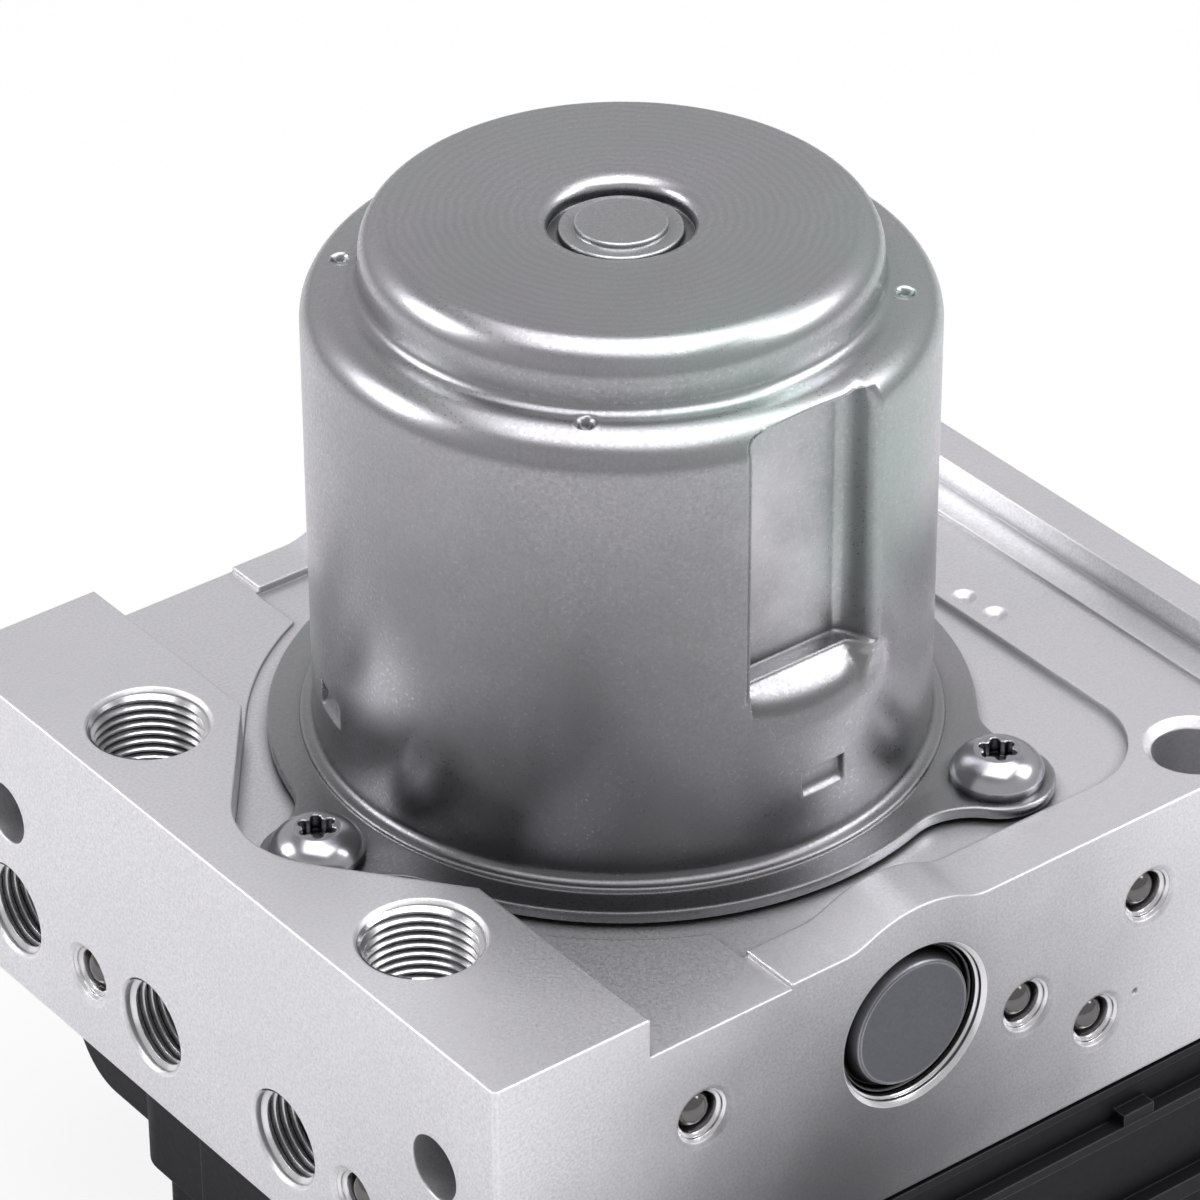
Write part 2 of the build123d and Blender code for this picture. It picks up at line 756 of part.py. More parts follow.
# Brush gear: plate with two brush boxes, brushes, rolled springs behind them
brush_z = commutator_bottom + commutator_height / 2
holder_top = seat + holder_sheet
spring_place = commutator_radius + running_gap + brush_length + brush_spring_radius
with BuildPart() as brush_holder:
    with BuildSketch(Plane.XY.offset(seat)):
        Circle(holder_radius)
        Circle(commutator_radius + 2.0, mode=Mode.SUBTRACT)
    extrude(amount=holder_sheet)
    for angle in brush_angles:
        radius = commutator_radius + 1.0 + (brush_length - 1.2) / 2
        with BuildSketch(Plane.XY.offset(holder_top)):
            with PolarLocations(radius, 1, angle):
                Rectangle(brush_length - 1.2, brush_width + 2 * brush_box_wall)
        extrude(amount=brush_z + brush_height / 2 + brush_box_wall - holder_top)
        with BuildSketch(Plane.XY.offset(brush_z - brush_height / 2)):
            with PolarLocations(radius, 1, angle):
                Rectangle(brush_length + 4.0, brush_width + 2 * running_gap)
        extrude(amount=brush_height + running_gap, mode=Mode.SUBTRACT)
        with BuildSketch(Plane.XY.offset(holder_top)):
            with PolarLocations(spring_place, 1, angle):
                Circle(brush_spring_radius / 2 - running_gap)
        extrude(amount=brush_z + brush_height / 2 - holder_top)
save(brush_holder.part, "brush_holder")
with BuildPart() as brushes:
    with BuildSketch(Plane.XY.offset(brush_z - brush_height / 2)):
        for angle in brush_angles:
            with PolarLocations(commutator_radius + running_gap + brush_length / 2, 1, angle):
                Rectangle(brush_length, brush_width)
    extrude(amount=brush_height)
save(brushes.part, "brushes")
with BuildPart() as brush_springs:
    with BuildSketch(Plane.XY.offset(holder_top)):
        for angle in brush_angles:
            with PolarLocations(spring_place, 1, angle):
                Circle(brush_spring_radius)
                Circle(brush_spring_radius / 2, mode=Mode.SUBTRACT)
    extrude(amount=brush_z + brush_height / 2 - holder_top)
save(brush_springs.part, "brush_springs")

# Motor plug: plastic tower down through the block, with two contact blades
plug_bottom = housing_top - 2.0
with BuildPart() as motor_plug:
    with Locations((plug_x, plug_y, plug_bottom)):
        Cylinder(plug_radius, seat - plug_bottom, align=(Align.CENTER, Align.CENTER, Align.MIN))
    with Locations(*[(plug_x + s * blade_pitch / 2, plug_y, plug_bottom) for s in (-1, 1)]):
        Box(
            blade_sheet + 2 * fit_gap,
            blade_width + 2 * fit_gap,
            seat - plug_bottom,
            align=(Align.CENTER, Align.CENTER, Align.MIN),
            mode=Mode.SUBTRACT,
        )
save(motor_plug.part, "motor_plug")
with BuildPart() as motor_blades:
    with Locations(*[(plug_x + s * blade_pitch / 2, plug_y, board_z + board_sheet) for s in (-1, 1)]):
        Box(
            blade_sheet,
            blade_width,
            seat - board_z - board_sheet,
            align=(Align.CENTER, Align.CENTER, Align.MIN),
        )
save(motor_blades.part, "motor_blades")

# Pumps: cap, sleeve, piston and return spring on each side of the eccentric
cap_seat = back - pump_mouth_depth
cap_rim = back - pump_cap_sink
piston_inner = ring_radius + eccentricity + running_gap
piston_outer = piston_inner + piston_length
sleeve_inner = back - pump_bore_depth
for side, name in ((-1, "front"), (1, "back")):
    section = Plane(origin=(0, 0, pump_z), x_dir=(1, 0, 0), z_dir=(0, 0, side))
    save(
        revolved(
            [
                (0, cap_seat - 3.0),
                (pump_bore_radius - fit_gap - 1.5, cap_seat - 3.0),
                (pump_bore_radius - fit_gap - 1.5, cap_seat),
                (pump_cap_radius + 0.9, cap_seat),
                (pump_cap_radius + 0.9, back - pump_stake_sink - 0.35),
                (pump_cap_radius + 0.7, back - pump_stake_sink),
                (pump_cap_radius + 0.5, back - pump_stake_sink - 0.25),
                (pump_cap_radius + 0.25, back - pump_stake_sink - 0.9),
                (pump_cap_radius, back - pump_stake_sink - 0.3),
                (pump_cap_face + 0.25, cap_rim - 0.15),
                (pump_cap_face, cap_rim),
                (0, cap_rim),
            ],
            section,
        ),
        f"pump_cap_{name}",
    )
    save(
        revolved(
            [
                (piston_radius + running_gap, sleeve_inner),
                (pump_bore_radius - fit_gap, sleeve_inner),
                (pump_bore_radius - fit_gap, cap_seat - 3.0),
                (piston_radius + running_gap, cap_seat - 3.0),
            ],
            section,
        ),
        f"pump_sleeve_{name}",
    )
    save(
        revolved(
            [
                (0, piston_inner),
                (piston_radius - 0.4, piston_inner),
                (piston_radius, piston_inner + 0.4),
                (piston_radius, piston_outer),
                (0, piston_outer),
            ],
            section,
        ),
        f"pump_piston_{name}",
    )
    spring_room = cap_seat - 3.0 - piston_outer
    with BuildPart() as pump_spring:
        with BuildLine():
            coil = Helix(
                (spring_room - pump_spring_wire) / pump_spring_turns,
                spring_room - pump_spring_wire,
                piston_radius - pump_spring_wire,
                center=(0, side * (piston_outer + pump_spring_wire / 2), pump_z),
                direction=(0, side, 0),
            )
        with BuildSketch(Plane(origin=coil @ 0, z_dir=coil % 0)):
            Rectangle(pump_spring_wire, pump_spring_wire)
        sweep(path=coil, is_frenet=True)
    save(pump_spring.part, f"pump_spring_{name}")

# Pressure accumulators in the block's underside: cap, cup piston and spring
bore_end = unit_height + accumulator_depth
cap_inner = unit_height + accumulator_mouth_depth
accumulator_piston_top = bore_end - 0.3
accumulator_cup = accumulator_piston_top - accumulator_piston_floor
accumulator_skirt = accumulator_piston_top - accumulator_piston_length
piston_side = accumulator_radius - running_gap
wire = accumulator_spring_wire
for (x, y), name in zip(accumulator_places, ("front", "back")):
    section = Plane(origin=(x, y, 0), x_dir=(1, 0, 0), z_dir=(0, -1, 0))
    save(
        revolved(
            [
                (0, unit_height + 0.4),
                (accumulator_radius - 2.0, unit_height + 0.4),
                (accumulator_radius - 1.0, unit_height),
                (accumulator_mouth_radius - fit_gap, unit_height),
                (accumulator_mouth_radius - fit_gap, cap_inner),
                (0, cap_inner),
            ],
            section,
        ),
        f"accumulator_cap_{name}",
    )
    save(
        revolved(
            [
                (0, accumulator_cup),
                (piston_side - accumulator_piston_wall, accumulator_cup),
                (piston_side - accumulator_piston_wall, accumulator_skirt),
                (piston_side, accumulator_skirt),
                (piston_side, accumulator_piston_top),
                (0, accumulator_piston_top),
            ],
            section,
        ),
        f"accumulator_piston_{name}",
    )
    with BuildPart() as accumulator_spring:
        with BuildLine():
            coil = Helix(
                (accumulator_cup - cap_inner - wire) / accumulator_spring_turns,
                accumulator_cup - cap_inner - wire,
                piston_side - accumulator_piston_wall - wire,
                center=(x, y, cap_inner + wire / 2),
            )
        with BuildSketch(Plane(origin=coil @ 0, z_dir=coil % 0)):
            Rectangle(wire, wire)
        sweep(path=coil, is_frenet=True)
    save(accumulator_spring.part, f"accumulator_spring_{name}")

# Solenoid valves: cartridges in the block's underside, each with a plunger in its dome
dome_bottom = unit_height - dome_length
plunger_bottom = dome_bottom + dome_wall + running_gap
plunger_top = plunger_bottom + plunger_length
rod_top = plunger_top + 10.0
cartridge = [
    (0, dome_bottom),
    (dome_radius, dome_bottom),
    (dome_radius, unit_height - 0.4),
    (valve_radius - fit_gap, unit_height - 0.2),
    (valve_radius - fit_gap, unit_height + valve_depth),
    (plunger_rod_radius / 2, unit_height + valve_depth),
    (plunger_rod_radius / 2, rod_top + plunger_travel + 0.05),
    (plunger_rod_radius + running_gap, rod_top + plunger_travel + 0.05),
    (plunger_rod_radius + running_gap, plunger_top + plunger_travel + 0.6),
    (dome_radius - dome_wall, plunger_top + plunger_travel + 0.6),
    (dome_radius - dome_wall, dome_bottom + dome_wall),
    (0, dome_bottom + dome_wall),
]
plunger = [
    (0, plunger_bottom),
    (dome_radius - dome_wall - running_gap, plunger_bottom),
    (dome_radius - dome_wall - running_gap, plunger_top),
    (plunger_rod_radius, plunger_top),
    (plunger_rod_radius, rod_top),
    (0, rod_top),
]
for row, name, lift in ((valve_rows[0], "inlet", 0.0), (valve_rows[1], "outlet", plunger_travel)):
    with BuildPart() as cartridges:
        for y in valve_places:
            add(revolved(cartridge, Plane(origin=(row, y, 0), x_dir=(1, 0, 0), z_dir=(0, -1, 0))))
    save(cartridges.part, f"{name}_valves")
    for number, y in enumerate(valve_places, 1):
        place = Plane(origin=(row, y, lift), x_dir=(1, 0, 0), z_dir=(0, -1, 0))
        save(revolved(plunger, place), f"{name}_plunger_{number}")

# Coils and their yokes round the valve domes
coil_top = housing_top - unit_wall
coil_bottom = coil_top - coil_height
valve_points = [(x, y) for x in valve_rows for y in valve_places]
with BuildPart() as coils:
    with BuildSketch(Plane.XY.offset(coil_bottom + yoke_wall)):
        with Locations(*valve_points):
            Circle(coil_radius - yoke_wall - 0.2)
            Circle(dome_radius + 0.3, mode=Mode.SUBTRACT)
    extrude(amount=coil_height - 2 * yoke_wall)
save(coils.part, "coils")
with BuildPart() as coil_yokes:
    with BuildSketch(Plane.XY.offset(coil_bottom)):
        with Locations(*valve_points):
            Circle(coil_radius)
            Circle(dome_radius + 0.2, mode=Mode.SUBTRACT)
    extrude(amount=coil_height)
    with BuildSketch(Plane.XY.offset(coil_bottom + yoke_wall)):
        with Locations(*valve_points):
            Circle(coil_radius - yoke_wall - 0.1)
    extrude(amount=coil_height - 2 * yoke_wall, mode=Mode.SUBTRACT)
save(coil_yokes.part, "coil_yokes")

# Control unit housing: open below, ledges along the front, connector box on the right
main_size = (unit_right - unit_left, unit_back - unit_front)
main_middle = ((unit_right + unit_left) / 2, (unit_back + unit_front) / 2)
box_size = (connector_right - unit_right + 2 * unit_corner, connector_back - connector_front)
box_middle = (connector_right - box_size[0] / 2, (connector_back + connector_front) / 2)
with BuildPart() as unit_housing:
    with BuildSketch(Plane.XY.offset(housing_bottom)):
        with Locations(main_middle):
            RectangleRounded(*main_size, unit_corner)
    extrude(amount=housing_top - housing_bottom)
    with BuildSketch(Plane.XY.offset(housing_bottom)):
        with Locations(box_middle):
            RectangleRounded(*box_size, 2.0)
    extrude(amount=upper_ledge_z - housing_bottom)

    # Rounded rear part, shallower than the rest
    rear_reach = shallow_back - unit_back + unit_corner
    with BuildSketch(Plane.YZ.offset(unit_left + 0.6)):
        with Locations((shallow_back - rear_reach / 2, (housing_top + shallow_bottom) / 2)):
            Rectangle(rear_reach, housing_top - shallow_bottom)
        fillet(vertices().group_by(Axis.X)[-1].group_by(Axis.Y)[0], shallow_round)
    extrude(amount=unit_right - unit_left - 1.2)

    # Raised panel on the left, rim under the block, two ledges along the front
    with BuildSketch(Plane.YZ.offset(unit_left - panel_rise)):
        panel_front = unit_front + unit_corner + 0.5
        with Locations(((panel_front + panel_edge_y) / 2, (housing_bottom + housing_top) / 2)):
            Rectangle(panel_edge_y - panel_front, housing_top - housing_bottom)
    extrude(amount=panel_rise + 1.0)
    front_length = main_size[0] - 2 * unit_corner - 1.0
    for bottom, height, reach in (
        (housing_top - rim_height, rim_height, rim_reach),
        (upper_ledge_z, upper_ledge_height, ledge_reach),
        (housing_bottom, lower_ledge_height, ledge_reach),
    ):
        with BuildSketch(Plane.XY.offset(bottom)):
            with Locations((main_middle[0], unit_front - reach / 2 + 0.5)):
                Rectangle(front_length, reach + 1.0)
        extrude(amount=height)

    with BuildSketch(Plane.XY.offset(upper_ledge_z + upper_ledge_height - 0.2)):
        with Locations(((ledge_tab[0] + ledge_tab[1]) / 2, unit_front - ledge_reach / 2 + 0.4)):
            Rectangle(ledge_tab[1] - ledge_tab[0], ledge_reach + 0.6)
    extrude(amount=ledge_tab[2] + 0.2)

    # Connector socket, open upwards
    with BuildSketch(Plane.XY.offset(housing_bottom)):
        with Locations(((connector_left + connector_right) / 2, box_middle[1])):
            RectangleRounded(connector_right - connector_left, box_size[1], 2.0)
    extrude(amount=connector_top - housing_bottom)
    with BuildSketch(Plane.XY.offset(connector_floor)):
        with Locations(((connector_left + connector_right) / 2, box_middle[1])):
            RectangleRounded(
                connector_right - connector_left - 2 * connector_wall, box_size[1] - 2 * connector_wall, 1.2
            )
    extrude(amount=connector_top - connector_floor, mode=Mode.SUBTRACT)

    # Inside, open below, with tubes round the screws
    with BuildSketch(Plane.XY.offset(housing_bottom)):
        with Locations(main_middle):
            RectangleRounded(main_size[0] - 2 * unit_wall, main_size[1] - 2 * unit_wall, unit_corner - unit_wall)
        with Locations(((unit_right + connector_right) / 2 - unit_wall, box_middle[1])):
            Rectangle(connector_right - unit_right, box_size[1] - 2 * unit_wall)
        with Locations(*unit_screws):
            Circle(unit_boss_radius, mode=Mode.SUBTRACT)
    extrude(amount=connector_floor - unit_wall - housing_bottom, mode=Mode.SUBTRACT)
    with BuildSketch(Plane.XY.offset(connector_floor - unit_wall)):
        with Locations(main_middle):
            RectangleRounded(main_size[0] - 2 * unit_wall, main_size[1] - 2 * unit_wall, unit_corner - unit_wall)
        with Locations(*unit_screws):
            Circle(unit_boss_radius, mode=Mode.SUBTRACT)
    extrude(amount=housing_top - unit_wall - connector_floor + unit_wall, mode=Mode.SUBTRACT)
    with BuildSketch(Plane.XY.offset(connector_floor)):
        with Locations(((connector_left + connector_right) / 2, box_middle[1])):
            with GridLocations(pin_pitch, pin_pitch, 3, 9):
                Rectangle(pin_side + 2 * fit_gap, pin_side + 2 * fit_gap)
    extrude(amount=-unit_wall, mode=Mode.SUBTRACT)
    with Locations(*[(x, y, housing_top) for x, y in valve_points]):
        Hole(dome_radius + 0.4, unit_wall + 0.1)
    with Locations((plug_x, plug_y, housing_top)):
        Hole(plug_radius + 0.2, unit_wall + 0.1)
    with Locations(*[Plane(origin=(x, y, housing_bottom), z_dir=(0, 0, -1)).location for x, y in unit_screws]):
        CounterBoreHole(unit_screw_radius + 0.3, unit_screw_head + 0.3, unit_screw_seat - housing_bottom)
save(unit_housing.part, "unit_housing")

# Seal ring between housing and block
with BuildPart() as unit_seal:
    with BuildSketch(Plane.XY.offset(housing_top)):
        with Locations(main_middle):
            RectangleRounded(main_size[0] - 1.2, main_size[1] - 1.2, unit_corner)
            RectangleRounded(main_size[0] - 4.2, main_size[1] - 4.2, unit_corner - 1.5, mode=Mode.SUBTRACT)
    extrude(amount=seal_height)
save(unit_seal.part, "unit_seal")

# Cover: shallow tray with a lip into the housing and a dark seam above its edge
with BuildPart() as unit_cover:
    with BuildSketch():
        with Locations(main_middle):
            RectangleRounded(main_size[0] - 2 * cover_inset, main_size[1] - 2 * cover_inset, unit_corner)
        with Locations((box_middle[0] - cover_inset, box_middle[1])):
            RectangleRounded(box_size[0], box_size[1] - 2 * cover_inset, 2.0)
    extrude(amount=cover_height)
    fillet(faces().sort_by(Axis.Z)[0].outer_wire().edges(), cover_round)
    with BuildSketch(Plane.XY.offset(cover_height)):
        lip_inset = 2 * unit_wall + 0.2
        with Locations(main_middle):
            RectangleRounded(main_size[0] - lip_inset, main_size[1] - lip_inset, unit_corner - unit_wall)
        with Locations((box_middle[0] - unit_wall - 0.1, box_middle[1])):
            Rectangle(box_size[0], box_size[1] - lip_inset)
    extrude(amount=seam_height)
    with BuildSketch(Plane.XY.offset(unit_wall)):
        tray_inset = 4 * unit_wall
        with Locations(main_middle):
            RectangleRounded(main_size[0] - tray_inset, main_size[1] - tray_inset, 1.0)
        with Locations((box_middle[0] - 2 * unit_wall, box_middle[1])):
            Rectangle(box_size[0], box_size[1] - tray_inset)
        with Locations(*unit_screws):
            Circle(unit_boss_radius + 1.2, mode=Mode.SUBTRACT)
    extrude(amount=cover_height, mode=Mode.SUBTRACT)
    with Locations(*[(x, y, cover_height + seam_height) for x, y in unit_screws]):
        Hole(unit_screw_head + 0.5)
save(unit_cover.part, "unit_cover")

# Circuit board with its larger components, and the connector pins
with BuildPart() as circuit_board:
    with BuildSketch(Plane.XY.offset(board_z)):
        with Locations(main_middle):
            RectangleRounded(
                main_size[0] - 2 * unit_wall - 0.8, main_size[1] - 2 * unit_wall - 0.8, unit_corner - unit_wall
            )
        with Locations(((unit_right + connector_right) / 2 - unit_wall - 0.6, box_middle[1])):
            Rectangle(connector_right - unit_right, box_size[1] - 2 * unit_wall - 0.8)
        with Locations(*unit_screws):
            Circle(unit_boss_radius + 0.3, mode=Mode.SUBTRACT)
            Rectangle(2 * unit_boss_radius + 0.6, 2 * unit_boss_radius + 0.6, mode=Mode.SUBTRACT)
    extrude(amount=board_sheet)
save(circuit_board.part, "circuit_board")
with BuildPart() as board_parts:
    with BuildSketch(Plane.XY.offset(board_z)):
        with Locations((20.0, -24.0)):
            Rectangle(14.0, 14.0)
        with Locations((38.0, -20.0), (38.0, 0.0)):
            Rectangle(9.0, 7.0)
        with Locations((-14.0, -34.0), (-14.0, -16.5), (-14.0, 1.0)):
            Rectangle(7.0, 9.0)
    extrude(amount=-2.0)
    with BuildSketch(Plane.XY.offset(board_z + board_sheet)):
        with Locations((22.0, 8.0), (34.0, 8.0)):
            Circle(4.0)
    extrude(amount=10.0)
save(board_parts.part, "board_parts")
with BuildPart() as connector_pins:
    with BuildSketch(Plane.XY.offset(board_z + board_sheet)):
        with Locations(((connector_left + connector_right) / 2, box_middle[1])):
            with GridLocations(pin_pitch, pin_pitch, 3, 9):
                Rectangle(pin_side, pin_side)
    extrude(amount=connector_pin_top - board_z - board_sheet)
save(connector_pins.part, "connector_pins")

# Screws that hold the control unit to the block, from below
with BuildPart() as unit_screws_group:
    for x, y in unit_screws:
        with Locations((x, y, unit_screw_seat)):
            Cylinder(
                unit_screw_head, unit_screw_head_height, align=(Align.CENTER, Align.CENTER, Align.MAX)
            )
            Cylinder(
                unit_screw_radius, unit_height + unit_screw_grip - unit_screw_seat, align=(Align.CENTER, Align.CENTER, Align.MIN)
            )
        with Locations((x, y, unit_screw_seat - unit_screw_head_height + 0.75)):
            with BuildSketch(Plane(origin=(x, y, unit_screw_seat - unit_screw_head_height))):
                RegularPolygon(2.0, 6)
            extrude(amount=1.5, mode=Mode.SUBTRACT)
save(unit_screws_group.part, "unit_screws")
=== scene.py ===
from math import asin, atan2, cos, degrees, hypot, pi, radians, sin, sqrt

import bmesh
import bpy
from mathutils import Matrix, Vector


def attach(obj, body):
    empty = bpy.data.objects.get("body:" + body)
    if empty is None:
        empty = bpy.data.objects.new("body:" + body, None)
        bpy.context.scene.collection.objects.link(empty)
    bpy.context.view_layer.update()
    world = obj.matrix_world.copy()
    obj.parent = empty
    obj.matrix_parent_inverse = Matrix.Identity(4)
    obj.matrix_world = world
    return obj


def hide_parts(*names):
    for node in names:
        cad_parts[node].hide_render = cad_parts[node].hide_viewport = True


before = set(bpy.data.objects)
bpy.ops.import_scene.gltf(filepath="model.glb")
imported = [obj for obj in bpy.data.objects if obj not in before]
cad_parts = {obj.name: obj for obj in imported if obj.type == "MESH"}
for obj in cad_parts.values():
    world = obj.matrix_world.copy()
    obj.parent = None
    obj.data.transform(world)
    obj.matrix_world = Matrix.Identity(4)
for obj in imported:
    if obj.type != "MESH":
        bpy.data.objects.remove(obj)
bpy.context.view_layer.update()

# Valve block: one length of extruded aluminium alloy, sawn off, milled on every face and cross drilled.
# The cutters leave a fine matt grain, the broken edges catch the light, and painted shade lies low on the front
# face.
# Everything else of the unit is pressed, caulked or screwed into this block.
# Meshes are written in millimetres and scaled by this. Sizes in shaders are in metres.
MM = 0.001


def lay(tree, kind, feeds=None, **settings):
    """Place one shader node; a feed is another node's output or a plain value."""
    node = tree.nodes.new(kind)
    for name, value in settings.items():
        setattr(node, name, value)
    for socket, source in (feeds or {}).items():
        if isinstance(source, bpy.types.NodeSocket):
            tree.links.new(source, node.inputs[socket])
        else:
            node.inputs[socket].default_value = source
    return node


def new_effect(name, takes, gives):
    """Shader node group with named inputs and outputs; an output called Normal is a vector."""
    effect = bpy.data.node_groups.new(name, "ShaderNodeTree")
    for label, value in takes.items():
        kind = "NodeSocketColor" if isinstance(value, tuple) else "NodeSocketFloat"
        effect.interface.new_socket(name=label, in_out="INPUT", socket_type=kind).default_value = value
    for label in gives:
        kind = "NodeSocketVector" if label == "Normal" else "NodeSocketFloat"
        effect.interface.new_socket(name=label, in_out="OUTPUT", socket_type=kind)
    return effect, effect.nodes.new("NodeGroupInput").outputs, effect.nodes.new("NodeGroupOutput").inputs


def place(tree, effect, **values):
    """Put an effect into a material, with that material's own values."""
    node = tree.nodes.new("ShaderNodeGroup")
    node.node_tree = effect
    for name, value in values.items():
        node.inputs[name.replace("_", " ")].default_value = value
    return node.outputs


# Milled or shot grain: small flecks in the tone, and the height that goes with them
fine_grain, take, give = new_effect("fine_grain", {"Scale": 2500.0, "Contrast": 1.0}, ("Tone", "Height"))
spot = lay(fine_grain, "ShaderNodeTexCoord").outputs["Object"]
fleck = lay(
    fine_grain, "ShaderNodeTexNoise",
    {"Vector": spot, "Scale": take["Scale"], "Detail": 3.0, "Roughness": 0.7},
)
centred = lay(fine_grain, "ShaderNodeMath", {0: fleck.outputs[0], 1: 0.5}, operation="SUBTRACT")
spread = lay(
    fine_grain, "ShaderNodeMath", {0: centred.outputs[0], 1: take["Contrast"], 2: 0.5},
    operation="MULTIPLY_ADD",
)
spread.use_clamp = True
fine_grain.links.new(spread.outputs[0], give["Tone"])
fine_grain.links.new(fleck.outputs[0], give["Height"])

# Edge marks: a lighter line along every outer edge, partly wear and partly painted highlight, and painted shade
# in every inner corner
edge_wear_and_painted_light, take, give = new_effect(
    "edge_wear_and_painted_light", {"Width": 0.0003, "Reach": 0.0012}, ("Rim", "Corner_shade", "Normal")
)
rounded = lay(edge_wear_and_painted_light, "ShaderNodeBevel", {"Radius": take["Width"]}, samples=4)
plain = lay(edge_wear_and_painted_light, "ShaderNodeNewGeometry")
facing = lay(
    edge_wear_and_painted_light, "ShaderNodeVectorMath", {0: rounded.outputs[0], 1: plain.outputs["Normal"]},
    operation="DOT_PRODUCT",
)
turned = lay(
    edge_wear_and_painted_light, "ShaderNodeMapRange",
    {"Value": facing.outputs["Value"], "From Min": 0.995, "From Max": 0.9, "To Min": 0.0, "To Max": 1.0},
)
shelter = lay(edge_wear_and_painted_light, "ShaderNodeAmbientOcclusion", {"Distance": take["Reach"]}, samples=4)
inner = lay(
    edge_wear_and_painted_light, "ShaderNodeMapRange",
    {"Value": shelter.outputs["AO"], "From Min": 0.95, "From Max": 0.5, "To Min": 0.0, "To Max": 1.0},
)
outer = lay(edge_wear_and_painted_light, "ShaderNodeMath", {0: 1.0, 1: inner.outputs[0]}, operation="SUBTRACT")
rim = lay(edge_wear_and_painted_light, "ShaderNodeMath", {0: turned.outputs[0], 1: outer.outputs[0]}, operation="MULTIPLY")
edge_wear_and_painted_light.links.new(rim.outputs[0], give["Rim"])
edge_wear_and_painted_light.links.new(inner.outputs[0], give["Corner_shade"])
edge_wear_and_painted_light.links.new(rounded.outputs[0], give["Normal"])

# Handling: wide soft clouds, where a surface was touched, plated unevenly or dried after washing
cloud, take, give = new_effect("cloud", {"Scale": 60.0, "Amount": 0.5, "Stretch": 1.0}, ("Mask",))
spot = lay(cloud, "ShaderNodeTexCoord").outputs["Object"]
axes = lay(cloud, "ShaderNodeSeparateXYZ", {0: spot})
drawn = lay(cloud, "ShaderNodeMath", {0: axes.outputs["Z"], 1: take["Stretch"]}, operation="MULTIPLY")
moved = lay(
    cloud, "ShaderNodeCombineXYZ", {"X": axes.outputs["X"], "Y": axes.outputs["Y"], "Z": drawn.outputs[0]}
)
billow = lay(
    cloud, "ShaderNodeTexNoise",
    {"Vector": moved.outputs[0], "Scale": take["Scale"], "Detail": 4.0, "Roughness": 0.55},
)
mass = lay(cloud, "ShaderNodeMapRange", {"Value": billow.outputs[0], "From Min": 0.35, "From Max": 0.65})
held = lay(cloud, "ShaderNodeMath", {0: mass.outputs[0], 1: take["Amount"]}, operation="MULTIPLY")
cloud.links.new(held.outputs[0], give["Mask"])

# Patch: an uneven patch round a point, full in its core, for a tint of the plating, for painted shade and for a
# painted reflection
patch_core = 0.008
patch_wander = 0.014
tint_and_painted_light_patch, take, give = new_effect(
    "tint_and_painted_light_patch", {"X": 0.0, "Y": 0.0, "Z": 0.0, "Reach": 0.05, "Amount": 0.6}, ("Mask",)
)
spot = lay(tint_and_painted_light_patch, "ShaderNodeTexCoord").outputs["Object"]
middle = lay(tint_and_painted_light_patch, "ShaderNodeCombineXYZ", {"X": take["X"], "Y": take["Y"], "Z": take["Z"]})
away = lay(tint_and_painted_light_patch, "ShaderNodeVectorMath", {0: spot, 1: middle.outputs[0]}, operation="DISTANCE")
uneven = lay(tint_and_painted_light_patch, "ShaderNodeTexNoise", {"Vector": spot, "Scale": 70.0, "Detail": 3.0, "Roughness": 0.5})
shifted = lay(
    tint_and_painted_light_patch, "ShaderNodeMath", {0: uneven.outputs[0], 1: patch_wander, 2: away.outputs["Value"]},
    operation="MULTIPLY_ADD",
)
nearness = lay(
    tint_and_painted_light_patch, "ShaderNodeMapRange",
    {"Value": shifted.outputs[0], "From Min": take["Reach"], "From Max": patch_core},
    interpolation_type="SMOOTHSTEP",
)
laid = lay(tint_and_painted_light_patch, "ShaderNodeMath", {0: nearness.outputs[0], 1: take["Amount"]}, operation="MULTIPLY")
tint_and_painted_light_patch.links.new(laid.outputs[0], give["Mask"])


def blended(tree, amount, under, over):
    """Colour that goes from under to over as the amount does."""
    under, over = [c if isinstance(c, bpy.types.NodeSocket) else (*c, 1.0) for c in (under, over)]
    return lay(tree, "ShaderNodeMix", {0: amount, 6: under, 7: over}, data_type="RGBA").outputs[2]


